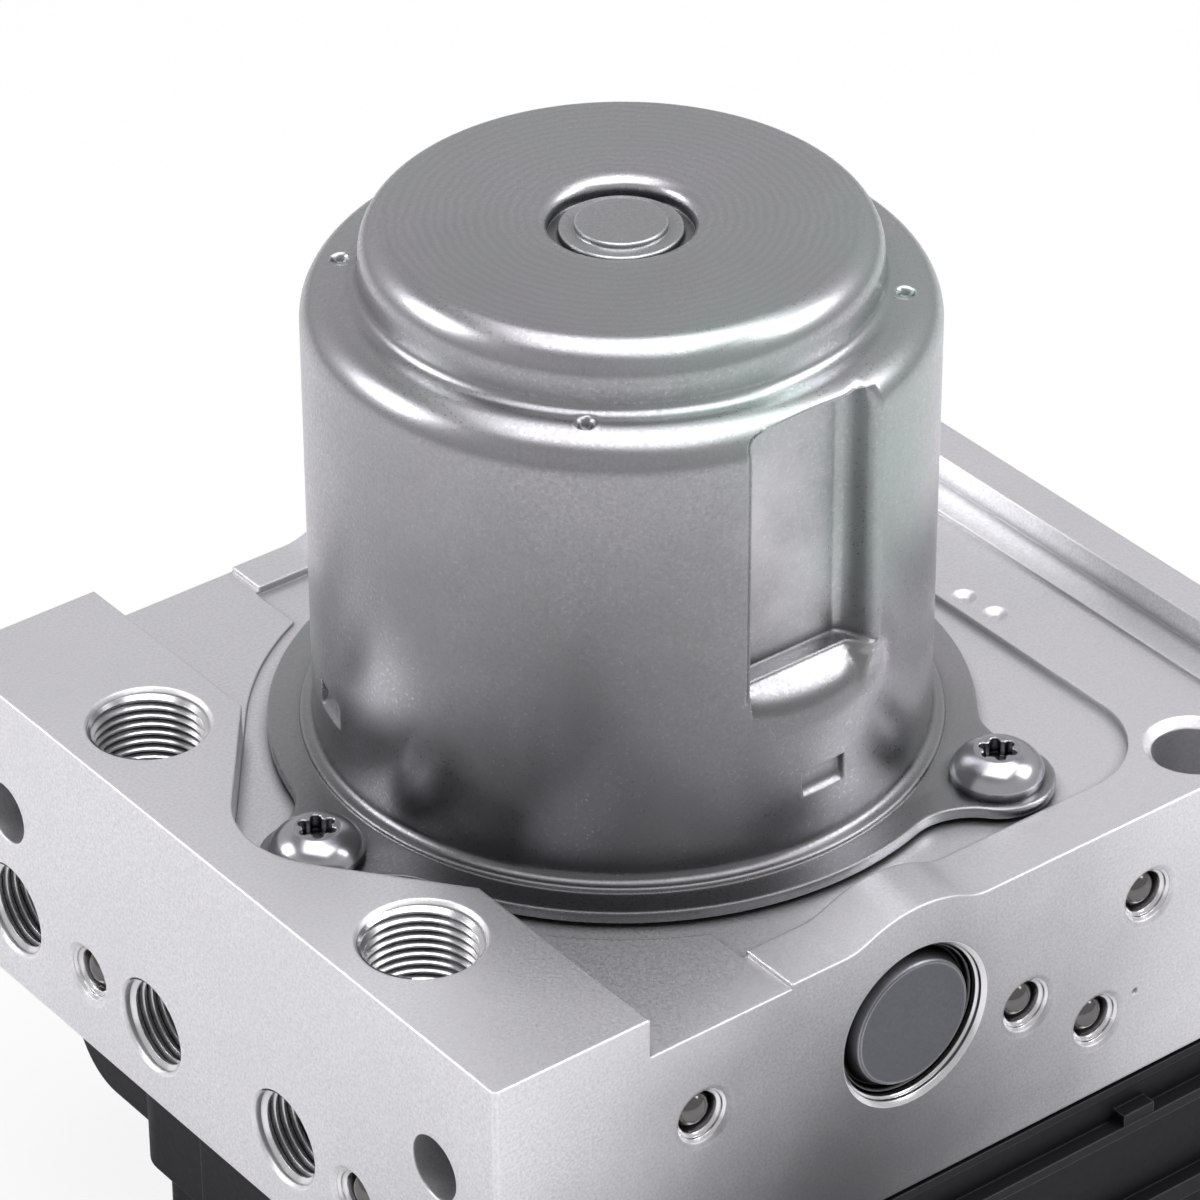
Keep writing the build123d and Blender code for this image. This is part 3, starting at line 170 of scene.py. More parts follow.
def metal_finish(name, light, dark, smooth, rough, grain=2500.0, contrast=1.0, relief=0.02, edge=0.0003,
                 rim=None, corner_shade=None, clouds=(60.0, 0.5, 1.0), metallic=1.0):
    """Metal with grain in tone and gloss, lighter outer edges that are partly wear and partly painted
    highlight, painted shade in inner corners, and soft clouds.

    Grain is in flecks per metre, relief in millimetres, edge in metres. Clouds are scale, amount and stretch.
    """
    cloud_tone = tuple(0.5 * (a + b) * 0.92 for a, b in zip(light, dark))
    corner_shade_tone = corner_shade or tuple(0.35 * c for c in dark)
    rim_tone = rim or tuple(min(0.95, 1.35 * c) for c in light)
    finish = bpy.data.materials.new(name)
    finish.use_nodes = True
    tree = finish.node_tree
    shader = tree.nodes["Principled BSDF"]
    shader.inputs["Metallic"].default_value = metallic
    flecks = place(tree, fine_grain, Scale=grain, Contrast=contrast)
    edge_wear_and_light = place(tree, edge_wear_and_painted_light, Width=edge, Reach=4 * edge)
    clouded = place(tree, cloud, Scale=clouds[0], Amount=clouds[1], Stretch=clouds[2])
    body = blended(tree, flecks["Tone"], dark, light)
    body = blended(tree, clouded["Mask"], body, cloud_tone)
    # Painted shade darkens the inner corners; the lighter outer edges are partly wear and partly painted
    # highlight
    body = blended(tree, edge_wear_and_light["Corner_shade"], body, corner_shade_tone)
    body = blended(tree, edge_wear_and_light["Rim"], body, rim_tone)
    tree.links.new(body, shader.inputs["Base Color"])
    gloss = lay(tree, "ShaderNodeMapRange", {"Value": flecks["Tone"], "To Min": rough, "To Max": smooth})
    tree.links.new(gloss.outputs[0], shader.inputs["Roughness"])
    bump = lay(
        tree, "ShaderNodeBump",
        {"Height": flecks["Height"], "Normal": edge_wear_and_light["Normal"], "Strength": 0.6, "Distance": relief * MM},
    )
    tree.links.new(bump.outputs[0], shader.inputs["Normal"])
    return finish


def tint(finish, mask, tone):
    """Lay one more tone over a finish, as far as the mask says."""
    tree = finish.node_tree
    base = tree.nodes["Principled BSDF"].inputs["Base Color"]
    tree.links.new(blended(tree, mask, base.links[0].from_socket, tone), base)


def dress(finish, flat_over, *names):
    """Give CAD nodes their finish, smooth over edges flatter than the angle in degrees."""
    for name in names:
        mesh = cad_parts[name].data
        mesh.materials.clear()
        mesh.materials.append(finish)
        mesh.shade_smooth()
        mesh.set_sharp_from_angle(angle=radians(flat_over))


block_aluminium = metal_finish(
    "block_aluminium", (0.90, 0.90, 0.91), (0.66, 0.66, 0.67), 0.36, 0.50, grain=3000.0, contrast=2.6,
    relief=0.016, edge=0.00035, rim=(0.97, 0.97, 0.96), corner_shade=(0.42, 0.42, 0.43), clouds=(45.0, 0.35, 1.0),
)
# Painted shade: a dark patch towards the lower middle of the front face, laid on the upright faces and little
# on the tops
block_tree = block_aluminium.node_tree
painted_front_shade = place(block_tree, tint_and_painted_light_patch, X=-0.009, Y=-0.047, Z=0.027, Reach=0.066, Amount=0.97)
geometry = lay(block_tree, "ShaderNodeNewGeometry")
facing = lay(block_tree, "ShaderNodeSeparateXYZ", {0: geometry.outputs["Normal"]})
upright = lay(
    block_tree, "ShaderNodeMapRange",
    {"Value": facing.outputs["Z"], "From Min": 0.4, "From Max": 0.8, "To Min": 1.0, "To Max": 0.1},
)
painted_front_shade_on_uprights = lay(block_tree, "ShaderNodeMath", {0: painted_front_shade["Mask"], 1: upright.outputs[0]}, operation="MULTIPLY")
tint(block_aluminium, painted_front_shade_on_uprights.outputs[0], (0.08, 0.08, 0.085))
dress(block_aluminium, 28, "valve_block")

# Tube port threads: cut with a tap into the block's six ports, fine pitch, for the flare nuts of the tubes.
# The block's bores have the nominal size, and these ridges stand on them.
# The countersunk mouth cuts their first turn, and the last one runs out where the tap stopped.
rail_z = 63.0
left_x = -50.4
master_port_x, master_port_y = -41.5, 22.6
wheel_port_z = 36.5
wheel_port_ys = (36.15, 11.3, -11.3, -36.15)
master_thread = dict(major=6.0, minor=5.45, countersink=6.35, turns=10)
wheel_thread = dict(major=5.0, minor=4.46, countersink=5.3, turns=9)
thread_pitch = 1.0
thread_steps = 44
thread_start = 0.5
run_out = 0.6
root_sunk = 0.03
root_half = 0.47
crest_half = 0.09


def tapped_ridge(made, mouth, inward, major, minor, countersink, turns):
    """The ridge of one tapped hole, from its countersunk mouth down to the run out of the tap."""
    axis = Vector(inward)
    across = axis.orthogonal().normalized()
    third = axis.cross(across)
    last = turns * thread_steps
    root = major + root_sunk
    before = None
    for k in range(last + 1):
        angle = 2 * pi * k / thread_steps
        depth = thread_start + thread_pitch * k / thread_steps
        out = across * cos(angle) + third * sin(angle)
        crest = max(minor, countersink - depth + 0.1)
        crest = min(major, crest + (major - minor) * max(0.0, 1 - (last - k) / (run_out * thread_steps)))
        section = ((root, -root_half), (crest, -crest_half), (crest, crest_half), (root, root_half))
        ring = [
            made.verts.new((Vector(mouth) + axis * (depth + shift * thread_pitch) + out * radius) * MM)
            for radius, shift in section
        ]
        if before:
            for i in range(4):
                made.faces.new((before[i], before[(i + 1) % 4], ring[(i + 1) % 4], ring[i]))
        else:
            made.faces.new(ring)
        before = ring
    made.faces.new(reversed(before))


def new_piece(name, made, finish, body, flat_over=35):
    """Make a piece from a bmesh: smooth over flat angles, with its finish, riding on its body."""
    bmesh.ops.recalc_face_normals(made, faces=made.faces)
    mesh = bpy.data.meshes.new(name)
    made.to_mesh(mesh)
    made.free()
    mesh.materials.append(finish)
    mesh.shade_smooth()
    mesh.set_sharp_from_angle(angle=radians(flat_over))
    piece = bpy.data.objects.new(name, mesh)
    bpy.context.scene.collection.objects.link(piece)
    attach(piece, body)
    return piece


cut_aluminium = metal_finish(
    "cut_aluminium", (0.86, 0.86, 0.86), (0.66, 0.66, 0.67), 0.16, 0.30, grain=3000.0, contrast=0.6,
    relief=0.004, edge=0.00008, corner_shade=(0.12, 0.12, 0.13), clouds=(200.0, 0.2, 1.0),
)
threads = bmesh.new()
for y in (master_port_y, -master_port_y):
    tapped_ridge(threads, (master_port_x, y, rail_z), (0, 0, -1), **master_thread)
for y in wheel_port_ys:
    tapped_ridge(threads, (left_x, y, wheel_port_z), (1, 0, 0), **wheel_thread)
new_piece("tube_port_threads", threads, cut_aluminium, "hydraulic_unit")

# Sealing balls: hardened steel balls pressed into the ends of the cross drillings, which they close for good.
# They are ground and nearly mirror bright, and look dark where they reflect the drilling's wall.
ball_steel = metal_finish(
    "ball_steel", (0.20, 0.192, 0.186), (0.12, 0.115, 0.112), 0.10, 0.20, grain=4000.0, contrast=0.6,
    relief=0.003, edge=0.0001, corner_shade=(0.03, 0.03, 0.03), clouds=(300.0, 0.5, 1.0),
)
dress(ball_steel, 40, "sealing_balls")

# Caulked rims: where a ring shaped tool has pushed the block's metal over each ball and over both pump caps.
# Each rim has a bright cut chamfer, a narrow groove, and the bright lip that holds the piece down.
# They are the block's own metal, freshly worked, so they shine more than its milled faces.
ball_rim = [(2.945, 0.36), (2.66, 0.58), (2.60, 0.80), (2.50, 0.84), (2.28, 1.04), (2.2, 1.25)]
ball_rim += [(2.2, 1.48), (2.945, 1.48)]
pump_rim = [(9.09, 0.01), (9.0, 0.05), (8.62, 0.40), (8.57, 0.74), (8.47, 0.80), (8.33, 0.94)]
pump_rim += [(8.29, 1.2), (8.29, 1.7), (9.09, 1.7)]
front_y = 45.65
pump_bore_z = 47.15
# Where the balls sit: x and distance below the rail's top on the front and back, then the two on the left
front_balls = ((-26.0, 14.5), (14.5, 20.5), (23.95, 26.75), (30.1, 14.2))
left_ball_y, left_ball_drop = 22.6, 26.7
rims = [((0, side * front_y, pump_bore_z), (0, -side, 0), pump_rim) for side in (-1, 1)]
for x, drop in front_balls:
    rims += [((x, side * front_y, rail_z - drop), (0, -side, 0), ball_rim) for side in (-1, 1)]
rims += [((left_x, y, rail_z - left_ball_drop), (1, 0, 0), ball_rim) for y in (-left_ball_y, left_ball_y)]


def turned_ring(made, mouth, inward, profile, steps=96):
    """A ring turned about a hole's axis, from points of its radius and its depth below the face."""
    axis = Vector(inward)
    across = axis.orthogonal().normalized()
    third = axis.cross(across)
    loops = []
    for k in range(steps):
        out = across * cos(2 * pi * k / steps) + third * sin(2 * pi * k / steps)
        loops.append([
            made.verts.new((Vector(mouth) + axis * depth + out * radius) * MM) for radius, depth in profile
        ])
    for k in range(steps):
        here, following = loops[k], loops[(k + 1) % steps]
        for i in range(len(profile)):
            after = (i + 1) % len(profile)
            made.faces.new((here[i], following[i], following[after], here[after]))


caulking = bmesh.new()
for rim_place in rims:
    turned_ring(caulking, *rim_place)
new_piece("caulked_rims", caulking, cut_aluminium, "hydraulic_unit", 24)

# Solenoid valves: eight cartridges pressed into the block's underside, four open and four closed at rest.
# Each is a turned steel seat body with a thin drawn sleeve, and an iron plunger slides in it.
# The sleeves stand down into the coils of the control unit.
core_steel = metal_finish(
    "core_steel", (0.42, 0.42, 0.43), (0.30, 0.30, 0.31), 0.25, 0.4, grain=3000.0, contrast=0.8,
    clouds=(150.0, 0.4, 0.2),
)
bearing_steel = metal_finish(
    "bearing_steel", (0.58, 0.58, 0.59), (0.46, 0.46, 0.47), 0.14, 0.26, grain=5000.0, contrast=0.5,
    relief=0.004, clouds=(120.0, 0.3, 1.0),
)
dress(core_steel, 30, "inlet_valves", "outlet_valves")
dress(bearing_steel, 30, *[f"{row}_plunger_{n}" for row in ("inlet", "outlet") for n in range(1, 5)])

# Pumps: a hardened piston in a ground steel sleeve on each side, pushed out by the eccentric, back by a spring.
# A dark phosphated cap closes each bore and is caulked in. The front one shows in the photograph.
# Grease and handling leave soft clouds on the phosphate.
phosphated_steel = metal_finish(
    "phosphated_steel", (0.15, 0.155, 0.165), (0.10, 0.105, 0.115), 0.30, 0.46, grain=2600.0, contrast=1.2,
    relief=0.006, edge=0.00035, rim=(0.60, 0.61, 0.63), corner_shade=(0.03, 0.03, 0.03), clouds=(90.0, 0.6, 1.0),
)
spring_steel = metal_finish(
    "spring_steel", (0.36, 0.35, 0.34), (0.22, 0.21, 0.20), 0.22, 0.4, grain=5000.0, contrast=0.8,
    clouds=(400.0, 0.4, 1.0),
)
dress(phosphated_steel, 40, "pump_cap_front", "pump_cap_back")
dress(bearing_steel, 30, "pump_sleeve_front", "pump_sleeve_back", "pump_piston_front", "pump_piston_back")
dress(spring_steel, 40, "pump_spring_front", "pump_spring_back")

# Pressure accumulators: a cup shaped piston on a coil spring, in a bore of the underside with a pressed cap.
# They take up fluid from the wheel brakes while the pumps start. The piston is turned aluminium, hard anodised.
# The cap is plain zinc plated sheet.
plated_steel = metal_finish(
    "plated_steel", (0.62, 0.62, 0.63), (0.44, 0.44, 0.46), 0.20, 0.34, grain=3500.0, contrast=0.8,
    relief=0.006, edge=0.00025, clouds=(150.0, 0.5, 1.0),
)
anodised_aluminium = metal_finish(
    "anodised_aluminium", (0.40, 0.38, 0.33), (0.30, 0.28, 0.24), 0.35, 0.5, grain=3000.0,
    clouds=(100.0, 0.3, 1.0),
)
dress(plated_steel, 30, "accumulator_cap_front", "accumulator_cap_back")
dress(anodised_aluminium, 30, "accumulator_piston_front", "accumulator_piston_back")
dress(spring_steel, 40, "accumulator_spring_front", "accumulator_spring_back")

# Motor bearing and eccentric: a deep groove bearing pressed into the block carries the shaft at the pumps.
# The eccentric journal runs in a ring of needles, and that ring pushes the two pistons.
# All of it is hardened and ground bearing steel, oiled.
dress(bearing_steel, 30, "front_bearing", "front_bearing_inner")
dress(bearing_steel, 30, "eccentric_ring", "eccentric_needles", "rotor_shaft")

# Armature: punched laminations on the shaft, wound with enamelled wire, with a commutator of copper bars.
# The laminations show as fine lines round the core, and the wire as ropes across its ends.
# The commutator is turned after moulding, so its bars carry fine grooves.
banded, take, give = new_effect("banded", {"Count per metre": 2000.0, "Wander": 0.4}, ("Line", "Height"))
spot = lay(banded, "ShaderNodeTexCoord").outputs["Object"]
lines = lay(
    banded, "ShaderNodeTexWave",
    {"Vector": spot, "Scale": take["Count per metre"], "Distortion": take["Wander"]},
    bands_direction="Z",
)
banded.links.new(lines.outputs[1], give["Line"])
banded.links.new(lines.outputs[1], give["Height"])


def banded_metal(name, light, dark, smooth, rough, lines_per_metre, wander, relief):
    """Metal finish with fine lines across the motor axis: laminations, wire or turning grooves."""
    finish = metal_finish(name, light, dark, smooth, rough, grain=3000.0)
    tree = finish.node_tree
    shader = tree.nodes["Principled BSDF"]
    lined = place(tree, banded, Count_per_metre=lines_per_metre, Wander=wander)
    base, normal = shader.inputs["Base Color"], shader.inputs["Normal"]
    gap_tone = tuple(0.45 * c for c in dark)
    tree.links.new(blended(tree, lined["Line"], gap_tone, base.links[0].from_socket), base)
    bump = lay(tree, "ShaderNodeBump", {"Height": lined["Height"], "Strength": 0.7, "Distance": relief * MM})
    tree.links.new(normal.links[0].from_socket, bump.inputs["Normal"])
    tree.links.new(bump.outputs[0], normal)
    return finish


laminations = banded_metal(
    "laminations", (0.34, 0.34, 0.36), (0.22, 0.22, 0.24), 0.3, 0.45, 320.0, 0.2, 0.06
)
enamelled_wire = banded_metal(
    "enamelled_wire", (0.72, 0.30, 0.14), (0.42, 0.14, 0.06), 0.2, 0.35, 260.0, 9.0, 0.2
)
turned_copper = banded_metal(
    "turned_copper", (0.86, 0.50, 0.34), (0.62, 0.33, 0.22), 0.18, 0.3, 900.0, 0.1, 0.01
)
dress(laminations, 30, "armature_core")
dress(enamelled_wire, 50, "armature_winding")
dress(turned_copper, 30, "commutator")


# Brush gear: a moulded holder ring under the can, two carbon brushes and their springs, and a plain rear bush.
# Two ferrite magnets are clipped inside the can. The ring and the plug are black glass filled plastic.
# The plug carries two punched blades down through the block to the circuit board.
def moulded_finish(name, light, dark, smooth, rough, grain=1800.0, relief=0.02, rim=None,
                   clouds=(40.0, 0.4, 1.0)):
    """Moulded or pressed material: fine eroded grain, lighter edges that are partly rubbed and partly painted
    highlight, painted shade in its corners.
    """
    return metal_finish(
        name, light, dark, smooth, rough, grain=grain, relief=relief, edge=0.00025,
        rim=rim or tuple(min(1.0, 1.9 * c + 0.01) for c in light), corner_shade=tuple(0.6 * c for c in dark),
        clouds=clouds, metallic=0.0,
    )


holder_plastic = moulded_finish("holder_plastic", (0.045, 0.043, 0.040), (0.030, 0.029, 0.027), 0.42, 0.58)
ferrite = moulded_finish("ferrite", (0.085, 0.085, 0.090), (0.055, 0.055, 0.060), 0.5, 0.68, grain=3500.0)
carbon = moulded_finish("carbon", (0.050, 0.050, 0.052), (0.032, 0.032, 0.034), 0.38, 0.6, grain=6000.0)
contact_brass = metal_finish(
    "contact_brass", (0.80, 0.62, 0.34), (0.60, 0.44, 0.22), 0.22, 0.36, grain=4000.0, contrast=0.8,
    clouds=(200.0, 0.3, 1.0),
)
dress(holder_plastic, 30, "brush_holder", "motor_plug")
dress(ferrite, 30, "field_magnets")
dress(carbon, 30, "brushes")
dress(spring_steel, 40, "brush_springs")
dress(contact_brass, 30, "rear_bush", "motor_blades")

# Motor can: deep drawn from one steel sheet with its flange and three ears, zinc nickel plated to a satin grey.
# Later strokes set the side pocket, three window recesses, four peened dimples and the sunk bearing boss.
# The plating is uneven, so clouds, greenish patches and dark specks of drawing oil lie on it. Painted shade
# darkens the lower wall, and a painted reflection brightens the pocket's floor.
can_radius = 30.8
can_sheet = 1.5
wall_inner = can_radius - can_sheet
shoulder_z = 109.35
shoulder_round = 3.9
shoulder_inner = can_radius - shoulder_round
wall_top = shoulder_z - shoulder_round
cap_radius = 25.1
cap_top = 115.795
cap_round = 3.4
cap_fillet = 1.2
boss_top = 115.3
bush_top = 112.3
flange_low = 58.8
flange_high = 60.0
flange_start = 32.3
flange_radius = 35.4
ear_circle = 38.8
ear_radius = 5.8
ear_blend = 7.0
ear_angles = (-177.0, -57.0, 63.0)
# The pocket: its sides and floor, the ledge where the floor ends, its roof, and the step and slope of its foot
pocket_left = -7.5
pocket_right = 5.7
pocket_slant = 2.41
pocket_floor = 26.0
pocket_rim = 29.0
pocket_ledge = 80.2
pocket_roof = 108.2
pocket_near_x, pocket_near_y, pocket_near_z = 14.0, -20.0, 74.0
left_wall_run = 14.0
foot_step = 1.7
foot_step_run = 6.0
foot_drop = 0.5
foot_run = 1.15
foot_sink = 0.3
# Its edges: the rounded top corner, the lip on the left and the thin groove beside that lip
corner_round = 1.6
lip_round = 1.1
groove_gap, groove_half, groove_depth = 0.55, 0.18, 0.22
window_angles = (-89.3, 164.5, 37.6)
window_low, window_high = 66.5, 69.4
window_half = 2.6
window_depth = 0.8
dimple_circle = 27.1
dimple_radius = 0.95
dimple_depth = 0.85
dimple_lip = 0.10
dimple_angles = (45.0, 135.0, 225.0, 315.0)
hair = 0.01


def eased(low, high, value):
    """0 below low, 1 above high, smooth between."""
    t = min(1.0, max(0.0, (value - low) / (high - low)))
    return t * t * (3 - 2 * t)


def hump(start, full, fade, end, value):
    """1 between full and fade, smooth down to 0 at start and at end."""
    return eased(start, full, value) * (1 - eased(fade, end, value))


def bent(value, soft):
    """A straight ramp above 0 that starts with a curve as wide as soft."""
    if value >= soft:
        return value
    return 0.0 if value <= -soft else (value + soft) ** 2 / (4 * soft)


def left_edge(z):
    """The pocket's left edge, rounded into its top."""
    up = min(corner_round, max(0.0, z - pocket_roof + corner_round))
    return pocket_left + corner_round - sqrt(corner_round**2 - up**2)


def pocket_reach(x, z, inside=0.0):
    """Distance of the pocket's sheet from the motor axis, towards the front face."""
    reach = pocket_floor - inside
    reach += (pocket_rim - pocket_floor) * eased(pocket_roof - 0.1, pocket_roof + 0.1, z - inside * 0.5)
    reach += left_wall_run * bent(left_edge(z) - inside - x, 0.05)
    reach += pocket_slant * bent(x - pocket_right - inside / 2, 0.7)
    drop = pocket_ledge - inside - z
    reach += min(foot_step, foot_step_run * bent(drop, 0.08))
    return reach + foot_run * bent(drop - foot_drop, 0.15)


def rounded_below(outer, limit, soft):
    """The nearer of two surfaces, with a rounded edge where they cross."""
    return min(outer, limit) - max(0.0, soft - abs(outer - limit)) ** 2 / (4 * soft)


def in_pocket(x, y, z, inside=0.0):
    """Move a point of the can's side in to the pocket's sheet."""
    if y > pocket_near_y or abs(x) > pocket_near_x or z < pocket_near_z:
        return y
    reach = -y
    if not inside:
        lip = lip_round - (left_edge(z) - x)
        if 0 < lip <= lip_round:
            depth = lip_round - sqrt(lip_round**2 - lip**2)
            reach -= depth * hump(pocket_ledge - 1.4, pocket_ledge, pocket_roof - 1.0, pocket_roof, z)
        across = (x - left_edge(z) + groove_gap) / groove_half
        groove = groove_depth * max(0.0, 1 - across**2)
        reach -= groove * hump(pocket_ledge - 1.7, pocket_ledge - 0.2, pocket_roof - 0.3, pocket_roof + 0.2, z)
        reach -= foot_sink * hump(-10.0, -7.0, 6.5, 10.0, x) * hump(74.2, 77.5, 78.5, 80.4, z)
    # The edge is sharpest on the left, wider on the slanted side and at the foot
    soft = 0.3 + 1.4 * eased(3.0, 6.0, x) + 1.2 * (1 - eased(78.6, 79.8, z))
    return -rounded_below(reach, pocket_reach(x, z, inside), soft)


def apart(one, other):
    """Angle between two directions, in degrees."""
    return abs((one - other + 180) % 360 - 180)


def flange_reach(turn):
    """Distance of the flange's edge from the axis, with the three ears blended in."""
    away = radians(min(apart(turn, ear) for ear in ear_angles))
    blend_far = flange_radius + ear_blend
    blend_x = (blend_far**2 - (ear_radius + ear_blend) ** 2 + ear_circle**2) / (2 * ear_circle)
    blend_y = sqrt(blend_far**2 - blend_x**2)
    start = atan2(blend_y, blend_x)
    share = ear_radius / (ear_radius + ear_blend)
    end = atan2(blend_y * share, ear_circle + (blend_x - ear_circle) * share)
    if away >= start:
        return flange_radius
    if away > end:
        aside = start - away
        return blend_far * cos(aside) - sqrt(max(0.0, ear_blend**2 - (blend_far * sin(aside)) ** 2))
    return ear_circle * cos(away) + sqrt(max(0.0, ear_radius**2 - (ear_circle * sin(away)) ** 2))


def arc_rows(middle_r, middle_z, radius, start, stop, steps):
    """Profile points along an arc of the can's section, angles from +r towards +Z."""
    return [
        (middle_r + radius * cos(radians(start + (stop - start) * k / steps)),
         middle_z + radius * sin(radians(start + (stop - start) * k / steps)))
        for k in range(steps + 1)
    ]


# Columns round the can: closer at the pocket, the windows, the ears and the dimples
turns = {float(a) for a in range(-180, 180, 3)}
ear_sides = (0, 2, 4, 5.5, 6.5, 7.2, 7.7, 8.0, 8.2, 8.4, 8.7, 9.2, 10, 11, 12.5, 14, 16, 17.5, 19)
for ear in ear_angles:
    for side in ear_sides:
        turns |= {ear - side, ear + side}
for window in window_angles:
    for side in (3.6, 4.4, 4.7, 4.78, 4.84, 4.9, 5.0, 5.3):
        turns |= {window - side, window + side}
for dimple in dimple_angles:
    turns |= {dimple + 0.4 * k for k in range(-8, 9)}
pocket_x = [-12 + 0.48 * k for k in range(51)]
pocket_x += [-9.0 + 0.1 * k for k in range(33)] + [-7.47, -7.44, -7.40, -7.34, -7.25]
pocket_x += [4.4 + 0.22 * k for k in range(20)]
turns |= {degrees(asin(x / can_radius)) - 90 for x in pocket_x}
least_apart = 0.045
columns = []
for turn in sorted((t + 180) % 360 - 180 for t in turns):
    if not columns or turn - columns[-1] > least_apart:
        columns.append(turn)

# Rows of the outer side, from the middle of the boss to the flange's edge
outer_rows = [(radius, boss_top) for radius in (0.9, 3.0, 4.2)]
outer_rows += [(4.42, 115.27), (4.5, 115.15), (4.52, 114.75), (4.6, 114.7), (5.7, 114.7), (5.93, 114.66)]
outer_rows += [(6.05, 114.5), (6.05, 113.85), (6.1, 113.8), (7.05, 113.8), (7.1, 113.85), (7.12, 114.75)]
outer_rows += [(7.2, 115.0), (7.4, 115.26), (7.75, 115.49), (8.2, 115.65), (8.8, 115.755)]
outer_rows += [(radius, cap_top) for radius in (9.5, 12.0, 15.0, 18.0, 20.5)]
outer_rows += arc_rows(cap_radius - cap_round, cap_top - cap_round, cap_round, 90, 0, 16)
outer_rows += [(cap_radius, 111.5)]
outer_rows += arc_rows(cap_radius + cap_fillet, shoulder_z + cap_fillet, cap_fillet, 180, 270, 8)[:-1]
outer_rows += [(radius, shoulder_z) for radius in (26.3, 26.45, 26.6, 26.75)]
# The rolled shoulder, with more rows where the pocket's roof cuts into it
shoulder_rows = arc_rows(shoulder_inner, wall_top, shoulder_round, 90, 0, 20)
roof_rows = [108.6, 108.45, 108.34, 108.27, 108.23, 108.2, 108.17, 108.13, 108.06, 107.95]
roof_rows += [107.8, 107.6, 107.3, 106.9]
shoulder_rows += [(shoulder_inner + sqrt(shoulder_round**2 - (z - wall_top) ** 2), z) for z in roof_rows]
outer_rows += sorted(shoulder_rows, key=lambda row: -row[1])
# The wall, with more rows at the pocket's foot and at the windows
wall = [104.9 - 1.65 * k for k in range(15)] + [81.2, 80.7] + [80.4 - 0.1 * k for k in range(30)]
wall += [77.3 - 0.25 * k for k in range(8)] + [75.2, 74.8, 74.4, 74.0, 73.0, 71.4]
wall += [69.9, 69.6, 69.48, 69.42, 69.38, 69.3, 68.6, 67.3]
wall += [66.6, 66.52, 66.48, 66.42, 66.3, 66.0, 64.8, 63.2, 62.0]
outer_rows += [(can_radius, z) for z in wall]
# The curl at the wall's foot and the step down to the flange
outer_rows += arc_rows(can_radius + 1.0, flange_high + 1.45, 1.0, 180, 270, 7)
outer_rows += [(31.95, 60.44), (32.08, 60.38), (32.17, 60.27), (32.2, 60.12), (32.22, 60.02)]
outer_rows += [(flange_start, flange_high)]
# Rows of the inner side, from the flange's underside to the holder of the rear bush
inner_rows = [(wall_inner, flange_low)]
inner_rows += [(wall_inner, z) for z in (62.0, 70.0, 76.0, 77.6, 78.2, 78.6, 79.2, 90.0, 103.0, 106.0)]
inner_rows += [(28.8, 107.4), (27.5, 107.85), (23.7, 107.85), (23.6, 108.2), (23.6, 113.2), (22.9, 114.0)]
inner_rows += [(21.5, 114.3), (8.0, bush_top), (8.0, 105.3), (6.5, 105.3), (6.5, bush_top), (0.9, bush_top)]


def can_point(radius, z, turn, inside=0.0):
    """One point of the can, with pocket, windows and dimples pressed in."""
    column_x = can_radius * sin(radians(turn + 90))
    if -170 < turn < -10 and shoulder_inner - hair <= radius <= can_radius + hair:
        # On the front, the columns run straight up over the shoulder at the pocket, and to the axis beside it
        follow = eased(9.0, 16.0, abs(column_x))
        x = column_x * (radius / can_radius) ** follow
        y = -sqrt(max(0.0, radius**2 - x**2))
    else:
        x, y = radius * cos(radians(turn)), radius * sin(radians(turn))
    if not inside and window_low - 6.5 < z < window_high + 5.6 and abs(radius - can_radius) < hair:
        for window in window_angles:
            aside = radians(apart(turn, window))
            width = window_half - can_radius * sin(aside)
            if aside < 0.3 and width > -0.06:
                inset = hump(window_low - 0.05, window_low + 0.4, window_high - 0.05, window_high + 0.05, z)
                inset *= eased(-0.05, 0.3, width)
                flat = (can_radius - window_depth) / cos(aside)
                pressed = can_radius + (flat - can_radius) * inset
                x, y = pressed * cos(radians(turn)), pressed * sin(radians(turn))
    if not inside and shoulder_z - 1.2 < z < shoulder_z + 0.6 and radius > 25.9:
        for dimple in dimple_angles:
            angle = radians(dimple)
            away = hypot(x - dimple_circle * cos(angle), y - dimple_circle * sin(angle))
            z -= dimple_depth * (1 - eased(0.35, dimple_radius, away))
            z += dimple_lip * hump(0.85, 1.05, 1.1, 1.6, away)
    if radius > 24:
        y = in_pocket(x, y, z, inside)
    return Vector((x, y, z)) * MM


can = bmesh.new()
rings = [[can.verts.new(can_point(radius, z, turn)) for turn in columns] for radius, z in outer_rows]
# The flange: shares of the way out to its edge, and how far below its top, round the punched edge and back
flange_rows = [(0.25, 0.0), (0.6, 0.0), (0.85, 0.0), (0.96, 0.0), (0.995, 0.06), (1.0, 0.25)]
flange_rows += [(1.0, 0.95), (0.995, 1.15), (0.96, 1.2), (0.5, 1.2)]
reaches = [flange_reach(turn) for turn in columns]
for share, down in flange_rows:
    ring = []
    for turn, reach in zip(columns, reaches):
        out = flange_start + (reach - flange_start) * share
        out_x, out_y = out * cos(radians(turn)), out * sin(radians(turn))
        ring.append(can.verts.new(Vector((out_x, out_y, flange_high - down)) * MM))
    rings.append(ring)
for radius, z in inner_rows:
    rings.append([can.verts.new(can_point(radius, z, turn, can_sheet)) for turn in columns])
for ring, following in zip(rings, rings[1:]):
    for k in range(len(columns)):
        after = (k + 1) % len(columns)
        can.faces.new((ring[k], ring[after], following[after], following[k]))
for ring, z in ((rings[0], boss_top), (rings[-1], bush_top)):
    middle = can.verts.new((0, 0, z * MM))
    for k in range(len(columns)):
        can.faces.new((middle, ring[k], ring[(k + 1) % len(columns)]))

